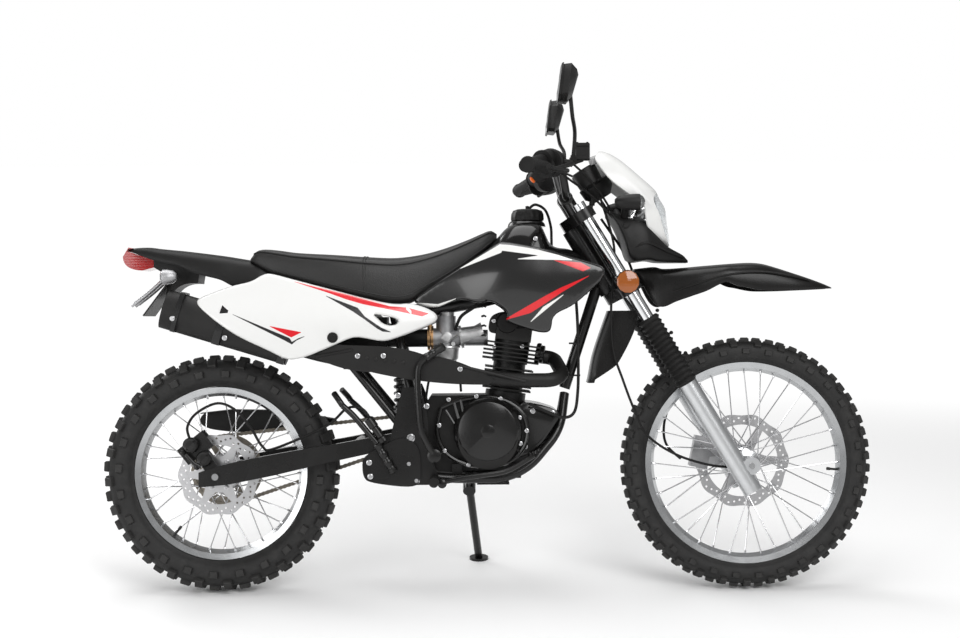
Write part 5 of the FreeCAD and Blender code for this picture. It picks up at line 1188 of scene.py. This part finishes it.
lampForm = {
    "turned": [((410, 0, 1000), (500, 0, 1000), [(0, 0), (0, 18), (12, 34), (30, 52), (58, 64), (60, 66), (58, 67),
                                                 (28, 56), (8, 38), (-6, 20), (-6, 0)], 40),
               ((405, 0, 1000), (480, 0, 1000), [(0, 12), (30, 12), (38, 9), (44, 0)], 20)],
}
keepPiece("lampBowl", "steering", assembled(lampForm), "chrome")

gaugeForm = {
    "dials": ((-36, 35), (38, 31)),
    "slant": Vector((-0.52, 0, 0.85)),
    "needle": Vector((0.85, 0, 0.52)),
    "face": 49.5,
    "base": (302, 1092),
    "dial": [(0, 0, 0), (0, 0.6, 0), (8, 0.92, 0), (44, 1, 0), (52, 1, 0), (54, 1, 3), (50, 1, 5), (49, 0, 0)],
    "needleReach": 0.6,
    "needleRadii": [1.6, 0.6],
    "turned": [((330, 0, 1062), (296, 0, 1118), [(0, 0), (0, 26), (20, 44), (46, 46), (50, 40), (50, 0)], 20)],
    "bars": [([(300, y, 1040), (306, y, 1100)], 6, 10) for y in (-30, 30)],
}


def gaugeSet():
    # Two round gauges in a housing behind the mask, on a bracket from the upper clamp.
    shape = assembled(gaugeForm)
    for y, radius in gaugeForm["dials"]:
        start = Vector((gaugeForm["base"][0], y, gaugeForm["base"][1]))
        shape.turned(start, start + gaugeForm["slant"],
                     [(along, radius * share - less) for along, share, less in gaugeForm["dial"]], 32)
        face = start + gaugeForm["slant"] * gaugeForm["face"]
        tip = face + gaugeForm["needle"] * (radius * gaugeForm["needleReach"])
        shape.tube([face, tip], gaugeForm["needleRadii"], 6)
    return shape


knobForm = {
    "turned": [((306, -62, 1150), (297, -62, 1176), [(0, 0), (0, 13), (6, 15), (16, 15), (21, 11), (22, 0)], 24)],
}
keepPiece("gaugeSet", "steering", gaugeSet(), "blackPlastic")
keepPiece("gaugeKnob", "steering", assembled(knobForm), "greyCap")

reflectorForm = {
    "glass": {"turned": [((385, 126, 831), (385, 127, 831), [(0, 0), (0, 28), (3, 30), (6, 30), (8, 26), (9, 0)], 12)]},
    "cup": {"turned": [((385, 120, 831), (385, 127, 831), [(0, 0), (0, 12), (4, 31.5), (8, 31.5), (8, 0)], 24)]},
}
for side, label in ((-1, "Right"), (1, "Left")):
    keepPiece("forkReflector" + label, "steering", assembled(reflectorForm["glass"], (side,)), "amberLens")
    keepPiece("reflectorCup" + label, "steering", assembled(reflectorForm["cup"], (side,)), "blackPlastic")

# The brake hose on the left, the speedometer cable on the right and the loops from the bars to the head.
cableForm = {
    "hoses": [([(330, 60, 1010), (402, 66, 900), (436, 66, 800), (484, 66, 700), (522, 62, 600), (520, 58, 520),
                (500, 56, 440), (506, 56, 385), (545, 52, 345)], 3.6, 8, 10),
              ([(318, -66, 1060), (352, -72, 940), (352, -74, 860), (345, -72, 760), (350, -72, 650), (375, -70, 570),
                (405, -68, 490), (440, -66, 420), (520, -62, 366), (618, -58, 336), (690, -56, 332)], 3.4, 8, 10),
              ([(236, -150, 1146), (282, -112, 1108), (325, -72, 1060), (356, -52, 1010)], 3.2, 8, 8),
              ([(236, 150, 1146), (290, 104, 1112), (332, 66, 1060), (358, 46, 1010)], 3.2, 8, 8),
              ([(182, -232, 1128), (230, -160, 1100), (292, -96, 1062), (352, -70, 1004)], 3.2, 8, 8)],
    "turned": [((690, -50, 332), (690, -60, 332), [(0, 12), (12, 12), (14, 8), (14, 0)], 16)]
    + [((x, -58, z), (x, -66, z), [(0, 5), (8, 5), (9, 3), (9, 0)], 10)
       for x, z in ((470, 755), (507, 695), (545, 640))],
}
keepPiece("frontCables", "steering", assembled(cableForm), "rubber")

# Front signals on short stalks, black shells with a clear lens ahead.
frontSignalForm = {
    "shell": {"turned": [((350, 150, 1040), (430, 150, 1040), [(0, 0), (0, 8), (8, 15), (26, 20), (56, 22), (66, 21.5),
                                                               (66, 0)], 24)],
              "bars": [([(378, 134, 1036), (380, 112, 1026), (382, 88, 1010)], [8, 9, 11], 14)]},
    "lens": {"turned": [((414, 150, 1040), (440, 150, 1040), [(0, 20), (4, 19.5), (10, 16), (15, 8), (16, 0)], 24)]},
}
keepPiece("frontSignals", "steering", assembled(frontSignalForm["shell"], both), "blackPlastic", ["front_signals"])
keepPiece("frontSignalLenses", "steering", assembled(frontSignalForm["lens"], both), "clearLens")

barForm = {
    "grip": ((163, 272, 1120), (113, 392, 1117)),
    "gripStart": [(0, 27), (4, 27), (6, 18)],
    "gripRing": ((0, 16.8), (1, 18.2), (4.4, 18.2), (5.4, 16.8)),
    "gripRings": (8, 17, 6.6),
    "gripEnd": [(122, 18), (124, 21), (130, 21), (132, 17), (133, 0)],
    "perch": [(0, 13), (1, 18), (24, 18), (25, 13)],
    "perchPlace": 52,
    "perchHalf": (-10, 30),
    "lever": [(22, 0, -4), (36, 40, -8), (22, 105, -14), (-8, 168, -14), (-18, 184, -10)],
    "leverRadii": ([8, 8], 6.2, [5.6, 8]),
    "reservoir": ((1150, 1158, 25), (1158, 1184, 23), (1184, 1192, 27)),
    "reservoirPlace": -170,
    "screws": ((250, -186), (276, -186), (250, -154), (276, -154)),
    "screwTop": 1192,
    "turned": [((186, -218, 1136), (172, -250, 1136), [(0, 0), (0, 30), (2, 36), (26, 37), (30, 33), (31, 0)], 32),
               ((188, 214, 1130), (172, 250, 1130), [(0, 0), (0, 24), (3, 30), (28, 30), (31, 26), (31, 0)], 28),
               ((178, -243, 1132), (126, -252, 1088), [(0, 0), (0, 20), (8, 25), (44, 22), (58, 15), (62, 13), (62, 0)],
                20)],
    "bars": [([(196, -204, 1132), (232, -184, 1142), (262, -170, 1154)], [10, 9, 10], 14)],
}


def barFittings():
    # Ribbed grips, the throttle housing, both lever perches, the brake reservoir and its screws.
    shape = assembled(barForm)
    start, count, pitch = barForm["gripRings"]
    rings = [(start + ring * pitch + along, radius) for ring in range(count) for along, radius in barForm["gripRing"]]
    for side in both:
        inner, outer = (Vector(place) for place in flipped(barForm["grip"], side))
        shape.turned(inner, outer, barForm["gripStart"] + rings + barForm["gripEnd"], 20)
        run = (outer - inner).normalized()
        perch = inner - run * barForm["perchPlace"]
        shape.turned(*(perch + run * reach for reach in barForm["perchHalf"]), barForm["perch"], 18)
        lever = [perch + Vector(place) for place in flipped(barForm["lever"], side)]
        shape.tube(curve(lever, 6), barForm["leverRadii"], 10)
    for low, high, half in barForm["reservoir"]:
        corners = [(246, -half), (280, -half), (284, 0), (280, half), (246, half), (242, 0)]
        shape.loft([[(x, barForm["reservoirPlace"] + y, z) for x, y in corners] for z in (low, high)])
    for x, y in barForm["screws"]:
        bolt(shape, (x, y, barForm["screwTop"]), (0, 0, 1), 3)
    return shape


starterForm = {"turned": [((131, -251, 1092), (126, -252, 1088), [(-6, 9), (3, 9), (5, 6), (5, 0)], 16)]}
keepPiece("barFittings", "steering", barFittings(), "rubber")
keepPiece("starterButton", "steering", assembled(starterForm), "amberPlastic")

mirrorForm = {
    "centre": (214, 332, 1326),
    "tip": 0.12,
    "shell": [(-58, -40), (-50, -50), (30, -52), (58, -34), (60, 18), (40, 48), (-36, 50), (-56, 30)],
    "shellRings": ((-13, 0.985), (-18, 0.95), (-13, 0.90), (6, 0.94), (20, 0.66), (24, 0.40)),
    "glass": [(-50, -36), (-44, -44), (28, -46), (51, -31), (53, 16), (35, 43), (-32, 45), (-49, 27)],
    "glassRings": ((-11, 1.0), (-16.6, 1.0), (-17.4, 0.97), (-18.0, 0.5)),
    "foot": (236, 232, 1150),
    "stemBends": ((4, 14, 60), (16, -22, -78), (10, 0, -30)),
    "stemRadius": 5.2,
    "nut": [(0, 10), (16, 10), (20, 7), (24, 7)],
    "nutDrop": 18,
}


def mirrorRings(shape, outline, rings, side):
    # Rings back from a mirror's face, which tips back as it rises.
    centre = Vector(flipped([mirrorForm["centre"]], side)[0])
    return shape.loft([[centre + Vector((depth + up * mirrorForm["tip"], side * away * size, up * size))
                        for away, up in outline] for depth, size in rings])


def mirrorMesh():
    # Angular mirror shells, each on a black stem.
    shape = Shape()
    for side in both:
        mirrorRings(shape, mirrorForm["shell"], mirrorForm["shellRings"], side)
        centre, foot = (Vector(place) for place in flipped([mirrorForm["centre"], mirrorForm["foot"]], side))
        rise, bend, end = (Vector(place) for place in flipped(mirrorForm["stemBends"], side))
        shape.tube(curve([foot, foot + rise, centre + bend, centre + end], 8), mirrorForm["stemRadius"], 12)
        shape.turned(foot - Vector((0, 0, mirrorForm["nutDrop"])), foot, mirrorForm["nut"], 6)
    return shape


def mirrorGlass():
    shape = Shape()
    for side in both:
        mirrorRings(shape, mirrorForm["glass"], mirrorForm["glassRings"], side)
    return shape


keepPiece("mirrorShells", "steering", mirrorMesh(), "blackPlastic", ["mirrors"])
keepPiece("mirrorGlass", "steering", mirrorGlass(), "chrome")
print("front end")

# engine, exhaust and rear end

# The clutch cover's rim and face, the right case's edge and ribs, and the cases' front end.
caseEdge = [(-112, 500), (-60, 520), (0, 527), (60, 516), (104, 484), (118, 440), (110, 396), (80, 360), (30, 342),
            (-30, 344), (-80, 362), (-110, 392), (-124, 440)]
coverForm = {
    "turned": [((12, -104, 436), (12, -105, 436), [(-30, 0), (-30, 92), (-10, 92), (-3, 88), (0, 82), (3, 80), (5, 76),
                                                   (3.5, 72), (3.5, 20), (5, 16), (5, 0)], 64)],
    "hoses": [([(x, -90, z) for x, z in caseEdge + caseEdge[:1]], 6, 4, 8)],
    "bars": [([(x, -92, z), (farX, -100, farZ)], 4.5, 8) for x, z, farX, farZ in (
        (-78, 512, -66, 470), (-60, 520, -52, 480), (-100, 492, -78, 456), (84, 500, 66, 476), (96, 380, 72, 398))],
    "slabs": [([(90, 514), (150, 506), (198, 490), (206, 472), (184, 440), (158, 402), (120, 370), (90, 362)],
               ((-74, 0.93), (-70, 1.0), (70, 1.0), (74, 0.93)), (94, 440))],
}
boltForm = {
    "bolts": [(95, 4.2, [(-92, 521), (-18, 529), (46, 522), (97, 471), (116, 436), (99, 402), (44, 350), (-40, 346),
                         (-104, 384), (-118, 452)]),
              (122, 8, [(-192, 421)]), (122, 6.5, [(-198, 353), (-178, 308)]), (122, 5.5, [(-226, 534), (-150, 505)]),
              (128, 5.5, [(-303, 357), (-300, 320)]), (74, 5, [(133, 487), (186, 482), (112, 392)]),
              (60, 4, [(30, 730), (106, 730), (30, 660), (106, 660)])],
}
keepPiece("clutchCover", "chassis", assembled(coverForm), "engineGloss")
keepPiece("engineBolts", "chassis", assembled(boltForm, (-1,)), "steel")

# The rocker box with its caps, the plug lead, the head's studs and the exhaust flange.
topForm = {
    "slabs": [([(14, 700), (20, 742), (52, 756), (96, 752), (118, 738), (124, 704), (100, 694), (40, 694)],
               ((-52, 1), (52, 1)), (0, 0))],
    "turned": [((96, -62, 716), (112, -96, 722), [(0, 9), (20, 9), (24, 12), (38, 12), (42, 8), (42, 0)], 16),
               ((144, -6, 640), (166, -8, 636), [(0, 27), (4, 30), (12, 30), (14, 25), (22, 25), (24, 22)], 28)],
    "hoses": [([(112, -92, 722), (128, -96, 744), (118, -80, 780), (80, -50, 806)], 4, 8, 10)],
    "bars": [([(-2, -40, z), (4, -48, z + 2), (8, -56, z)], 3, 6) for z in (768, 742, 716, 690)],
}
rockerCapForm = {
    "turned": [((66, 50, 724), (66, 60, 724), [(0, 30), (6, 30), (10, 26), (11, 0)], 28)]
    + [((x, 48, z), (x, 56, z), [(0, 8), (5, 8), (7, 6), (7, 0)], 14)
       for x, z in ((42, 704), (92, 704), (44, 744), (92, 744))],
}
keepPiece("topEnd", "chassis", assembled(rockerCapForm, both, assembled(topForm)), "engineGloss")

# The slide's tower and cap, float bowl with its drain, choke, stop screws and the inlet stub.
carbForm = {
    "turned": [((-98, 0, 700), (-98, 0, 760), [(0, 22), (16, 22), (18, 19), (40, 19), (42, 21), (54, 21), (57, 17),
                                               (57, 7), (70, 5), (72, 0)], 28),
               ((-96, 0, 662), (-96, 0, 610),
                [(0, 34), (4, 35), (6, 31), (34, 29), (40, 24), (42, 9), (52, 8), (52, 0)], 30),
               ((-62, 0, 686), (-56, 0, 687), [(0, 31), (7, 31)], 24)],
    "bars": [([(-60, 0, 686), (-18, 0, 694), (2, 0, 700)], [26, 23, 27], 24)],
    "hoses": [([(-96, -30, 676), (-70, -48, 690), (-62, -52, 700)], 3, 6, 8)],
}
screwForm = {
    "turned": [((-98, 24, 686), (-98, 44, 686), [(0, 15), (10, 15), (12, 11), (19, 11), (20, 0)], 20),
               ((-80, 26, 668), (-80, 38, 668), [(0, 6), (8, 6), (8, 0)], 8)],
}
clampForm = {
    "turned": [((x, 0, 684), (x + 1, 0, 684), [(-4, 29), (-4, 33.5), (3, 33.5), (3, 29)], 36) for x in (-146, -137)]
    + [((-142, -34, 690), (-142, -34, 722), [(0, 3.6), (9, 3.6), (10, 5.4), (14, 5.4), (15, 3.6), (24, 3.6), (25, 6),
                                             (30, 6), (31, 0)], 12)],
}
keepPiece("carburettorDetails", "chassis", assembled(screwForm, both, assembled(carbForm)), "carbSilver")
keepPiece("bootClamp", "chassis", assembled(clampForm), "brass")

# The fuel hose, two breathers, the vent, the rear brake's hose, the drains and the clips on the down tube.
hoseForm = {
    "hoses": [([(-4, -44, 790), (-22, -56, 768), (-58, -52, 742), (-74, -40, 706)], 4.5, 8, 10),
              ([(-98, -2, 758), (-92, -8, 790), (-60, -30, 815)], 3.2, 8, 10),
              ([(252, -40, 800), (255, -66, 720), (256, -70, 620), (254, -72, 540), (244, -76, 484), (214, -84, 470),
                (170, -90, 486), (124, -94, 508)], 4.2, 8, 10),
              ([(126, 0, 1032), (146, 0, 1046), (174, 4, 1030), (188, 8, 988), (190, 10, 954), (190, 10, 926)],
               3.8, 8, 10),
              ([(-300, -134, 476), (-322, -128, 500), (-362, -118, 500), (-420, -106, 452), (-560, -84, 392),
                (-592, -80, 398), (-622, -78, 446), (-662, -76, 494), (-712, -76, 514), (-768, -78, 488),
                (-792, -82, 452), (-786, -84, 420)], 3.6, 8, 10),
              ([(-128, 30, 640), (-150, 20, 560), (-158, -60, 480), (-160, -70, 400), (-150, -76, 330)], 3.4, 8, 10),
              ([(-84, 26, 640), (-66, 30, 590), (-60, -20, 540)], 3.4, 8, 10)],
    "bars": [([(x - 24, y + 8, z), (x - 4, y, z), (x + 6, y, z)], 2.4, 8) for x, y, z in ((256, -70, 668),
                                                                                         (255, -71, 582))],
}
keepPiece("hoses", "chassis", assembled(hoseForm), "rubber")

coilForm = {"x": -208, "radius": 31, "turns": 6.5, "low": 470, "rise": 118, "steps": 150, "wire": 5.4}
coilPath = [(coilForm["x"] + coilForm["radius"] * math.cos(turn), coilForm["radius"] * math.sin(turn),
             coilForm["low"] + coilForm["rise"] * step / coilForm["steps"])
            for step, turn in ((step, math.tau * coilForm["turns"] * step / coilForm["steps"])
                               for step in range(coilForm["steps"] + 1))]
ringForm = {
    "turned": [((-208, 0, 476), (-208, 0, 488), [(-6, 30), (-6, 37), (2, 39), (10, 39), (12, 34), (12, 30)], 36)],
}
keepPiece("shockCoil", "chassis", Shape().tube(coilPath, coilForm["wire"], 8), "springBlack")
keepPiece("shockRing", "chassis", assembled(ringForm), "castGrey")

# Kick starter, brake pedal and gear lever.
controlForm = {
    "turned": [((-130, -66, 376), (-130, -160, 376), [(0, 15), (60, 15), (66, 18), (94, 18), (96, 12), (96, 0)], 24),
               ((-152, -166, 632), (-98, -166, 668),
                [(0, 8), (4, 12), (10, 12), (12, 10.5), (20, 10.5), (22, 12), (28, 12), (30, 10.5), (38, 10.5),
                 (40, 12), (58, 12), (62, 8), (62, 0)], 16),
               ((-110, -112, 300), (-110, -138, 300), [(0, 12), (24, 12), (26, 9), (26, 0)], 18),
               ((62, 116, 364), (62, 152, 364), [(0, 8), (2, 9.5), (34, 9.5), (36, 8), (36, 0)], 14),
               ((-306, -132, 476), (-262, -132, 412),
                [(0, 8), (4, 13), (30, 13), (32, 10), (60, 10), (64, 14), (76, 14), (78, 6)], 18)],
    "hoses": [([(-130, -152, 376), (-148, -160, 410), (-164, -164, 450), (-170, -166, 520), (-172, -166, 590),
                (-166, -166, 618), (-150, -166, 634)], ([9] * 30, 8, [8] * 7), 6, 12),
              ([(-110, -130, 304), (-60, -132, 314), (0, -130, 322), (60, -124, 332), (104, -118, 354),
                (134, -114, 372)], 7, 6, 12),
              ([(-60, 66, 372), (-58, 120, 372)], 6, 4, 10),
              ([(-60, 118, 372), (-20, 128, 366), (30, 130, 360), (62, 130, 364)], 6, 6, 10)],
}
# The passenger's pegs on their hangers.
hangerForm = {
    "slabs": [([(-322, 366), (-300, 384), (-214, 428), (-168, 398), (-166, 300), (-200, 290), (-306, 304),
                (-320, 322)], ((121, 1), (128, 1)), (0, 0))],
    "hoses": [([(-372, 130, 508), (-342, 130, 480), (-300, 130, 430), (-278, 130, 404)], 8, 6, 12),
              ([(-396, 112, 540), (-380, 130, 520), (-372, 130, 508)], 8, 4, 12)],
    "turned": [((-282, 130, 408), (-236, 130, 330),
                [(0, 8), (3, 13), (12, 13), (14, 11.5), (24, 11.5), (26, 13), (38, 13), (40, 11.5), (50, 11.5),
                 (52, 13), (64, 13), (66, 11.5), (76, 11.5), (78, 13), (88, 12), (90, 0)], 18)],
}


treadForm = {
    "places": ((122, 370), (130, 373), (138, 376), (146, 379)),
    "corners": ((0, 0), (5, 2), (5, 10), (0, 8)),
    "sides": (-134, -98),
}


def pedalTreads(shape):
    # Four slanting bars across the brake pedal's foot.
    for x, z in treadForm["places"]:
        shape.loft([[(x + along, y, z + up) for along, up in treadForm["corners"]] for y in treadForm["sides"]])
    return shape


keepPiece("footControls", "chassis", assembled(hangerForm, both, pedalTreads(assembled(controlForm))), "framePaint")

# A thin guard over the chain's upper run, with a turned edge.
guardPlate = {
    "slabs": [([(-790, 466), (-770, 484), (-640, 486), (-520, 476), (-420, 462), (-404, 452), (-408, 444), (-500, 432),
                (-600, 424), (-690, 424), (-760, 432), (-788, 446)], ((92, 1), (95, 1)), (0, 0))],
    "edge": [(-784, 477), (-700, 486), (-600, 484), (-500, 474), (-410, 458)],
}
chainGuard = assembled(guardPlate).loft([[(x, 66, z), (x, 95, z), (x, 95, z + 2.6), (x, 66, z + 2.6)]
                                         for x, z in guardPlate["edge"]])
keepPiece("chainGuard", "chassis", chainGuard, "blackPlastic")

silencerForm = {
    "slope": math.radians(17),
    "front": Vector((-508, -120, 614)),
    "middle": 52,
    "corners": [(-32, 0), (32, 0), (39, 12), (39, 90), (30, 104), (-30, 104), (-39, 90), (-39, 12)],
    "bands": ((18, 38), (196, 216), (318, 330)),
    "proud": 1.035,
}


def silencerSection(distance, size):
    # The silencer's section at a distance back along it.
    slope, middle = silencerForm["slope"], silencerForm["middle"]
    back = Vector((-math.cos(slope), 0, math.sin(slope)))
    up = Vector((math.sin(slope), 0, math.cos(slope)))
    place = silencerForm["front"] + back * distance
    return [place + Vector((0, y * size, 0)) + up * (middle + (z - middle) * size) for y, z in silencerForm["corners"]]


bands = Shape()
for start, end in silencerForm["bands"]:
    bands.loft([silencerSection(place, size) for place, size in (
        (start, 1.0), (start, silencerForm["proud"]), (end, silencerForm["proud"]), (end, 1.0))])
keepPiece("silencerBands", "chassis", bands, "springBlack")

fittingForm = {
    "right": {"bolts": [(160, 5, [(-815, 742), (-678, 690)]), (158, 5, [(-526, 640)]),
                        (152, 5, [(-330, 640), (-262, 640), (-60, 604)])]},
    "both": {"bolts": [(106, 4.5, [(142, 948)])]},
    "knobs": {"turned": [((-394, 160, 689), (-394, 174, 689), [(0, 14), (8, 14), (11, 12), (12, 6), (10, 5), (10, 0)],
                          28)]},
}
keepPiece("fittings", "chassis", assembled(fittingForm["both"], both, assembled(fittingForm["right"], (-1,))), "steel")
keepPiece("panelKnobs", "chassis", assembled(fittingForm["knobs"], both), "rubber")

caliperForm = {
    "turned": [((x, -96, z), (x, -116, z), [(0, 21), (10, 21), (14, 18), (15, 12), (13, 10), (13, 0)], 28)
               for x, z in ((-780, 404), (-744, 368))]
    + [((x, -98, z), (x, -112, z), [(0, 8), (8, 8), (10, 6), (10, 4), (16, 4), (17, 0)], 12)
       for x, z in ((-802, 384), (-764, 346))],
    "bars": [([(-792, -106, 380), (-770, -110, 356), (-752, -106, 346)], [5, 6, 5], 10)],
}
keepPiece("caliperRelief", "chassis", assembled(caliperForm), "engineGloss")

# Small round lamps on stalks under the tail.
rearSignalForm = {
    "shell": {"turned": [((-812, 118, 852), (-848, 118, 852), [(0, 0), (0, 10), (8, 17), (24, 20), (36, 20), (36, 0)],
                          24)],
              "bars": [([(-832, 106, 852), (-832, 70, 858), (-832, 34, 866)], [8, 7, 9], 12)]},
    "lens": {"turned": [((-846, 118, 852), (-857, 118, 852), [(0, 19), (3, 18), (8, 11), (10, 0)], 24)]},
}
keepPiece("rearSignals", "chassis", assembled(rearSignalForm["shell"], both), "castGrey", ["rear_signals"])
keepPiece("rearSignalLenses", "chassis", assembled(rearSignalForm["lens"], both), "clearLens")

# Raised studs and ribs pressed into the heat shield.
shieldForm = {
    "turned": [((-306 + step * 24, -150, 634 - step * 3), (-306 + step * 24, -156, 634 - step * 3),
                [(0, 5), (3, 5), (4, 3.4), (4, 0)], 14) for step in range(5)],
    "bars": [([(-440, -151, 640), (-344, -151, 656)], 4, 8), ([(-60, -151, 612), (112, -151, 570)], 4, 8)],
}
keepPiece("shieldRelief", "chassis", assembled(shieldForm), "exhaustBlack")

# The silver rails of the plate's bracket.
plateForm = {
    "hoses": [([(-862, 22, 850), (-900, 24, 816), (-944, 24, 782)], 5.5, 6, 10)],
    "bars": [([(-944, 24, 782), (-952, 24, 776)], 4, 8)],
}
keepPiece("plateArm", "chassis", assembled(plateForm, both), "castGrey")
print("engine, exhaust and rear end")

# camera, light and floor

studio = {
    "cameraPlace": (-0.007, -4.2, 0.735),
    "cameraRoll": math.radians(-0.4),
    "lens": 57.7,
    "farClip": 60,
    "lamps": {
        "keyBox": ((1.6, -3.4, 3.4), (0, 0, 0.6), 2.6, 118),
        "topBox": ((-0.6, 0.4, 4.2), (0, 0, 0.5), 3.2, 100),
        "rearBox": ((-3.2, 2.6, 2.2), (0, 0, 0.6), 2.0, 60),
        "sideBox": ((-2.6, -3.2, 1.4), (0, 0, 0.6), 2.0, 40),
    },
    "floorColour": (0.92, 0.92, 0.92),
    "floorHalf": 20,
    "worldStrength": 0.36,
    "white": (1.0, 1.0, 1.0),
    "black": (0.0, 0.0, 0.0),
}
cameraData = bpy.data.cameras.new("photoCamera")
cameraData.lens = studio["lens"]
cameraData.clip_end = studio["farClip"]
camera = bpy.data.objects.new("photoCamera", cameraData)
bpy.context.scene.collection.objects.link(camera)
camera.matrix_world = (parked @ Matrix.Translation(studio["cameraPlace"]) @ Matrix.Rotation(math.pi / 2, 4, "X")
                       @ Matrix.Rotation(studio["cameraRoll"], 4, "Z"))
bpy.context.scene.camera = camera

# Square soft boxes that face the machine.
for name, (place, aim, size, power) in studio["lamps"].items():
    lamp = bpy.data.lights.new(name, "AREA")
    lamp.shape = "SQUARE"
    lamp.size = size
    lamp.energy = power
    holder = bpy.data.objects.new(name, lamp)
    bpy.context.scene.collection.objects.link(holder)
    holder.location = place
    holder.rotation_euler = (Vector(aim) - Vector(place)).to_track_quat("-Z", "Y").to_euler()


def studioWorld():
    # Even grey light, with a white surround where the camera and clear lenses look.
    world = bpy.data.worlds.new("studio")
    world.use_nodes = True
    bpy.context.scene.world = world
    tree = world.node_tree
    tree.nodes.clear()
    path = tree.nodes.new("ShaderNodeLightPath")
    skies = []
    for strength in (studio["worldStrength"], 1.0):
        sky = tree.nodes.new("ShaderNodeBackground")
        sky.inputs[0].default_value = (*studio["white"], 1)
        sky.inputs[1].default_value = strength
        skies.append(sky)
    blend = tree.nodes.new("ShaderNodeMixShader")
    either = tree.nodes.new("ShaderNodeMath")
    either.operation = "MAXIMUM"
    output = tree.nodes.new("ShaderNodeOutputWorld")
    for source, socket in ((path.outputs["Is Camera Ray"], either.inputs[0]),
                           (path.outputs["Is Transmission Ray"], either.inputs[1]),
                           (either.outputs[0], blend.inputs[0]), (skies[0].outputs[0], blend.inputs[1]),
                           (skies[1].outputs[0], blend.inputs[2]), (blend.outputs[0], output.inputs[0])):
        tree.links.new(source, socket)


studioWorld()


def studioFloor():
    # A wide pale floor that keeps only the machine's shadow.
    half = studio["floorHalf"]
    mesh = meshOf("floor", [(-half, -half, 0), (half, -half, 0), (half, half, 0), (-half, half, 0)], [(0, 1, 2, 3)])
    floor = bpy.data.objects.new("floor", mesh)
    bpy.context.scene.collection.objects.link(floor)
    recipe = Recipe("floorPaint")
    x, y, _ = recipe.axes()
    away = (x * x * 0.35 + y * y).ramp(1.2, 7.0)
    mottle = recipe.noise(3.0, 3.0, 0.5)
    near = recipe.mix(mottle * 0.3, studio["floorColour"], tuple(c * 0.98 for c in studio["floorColour"]))
    recipe.finish(colour=recipe.mix(away, near, studio["black"]), roughness=0.75, glow=1.0, specular=0.2,
                  glowColour=recipe.mix(away, studio["black"], studio["white"]))
    mesh.materials.append(recipe.material)


studioFloor()
bpy.context.scene.view_settings.view_transform = "Standard"
print("camera, light and floor")
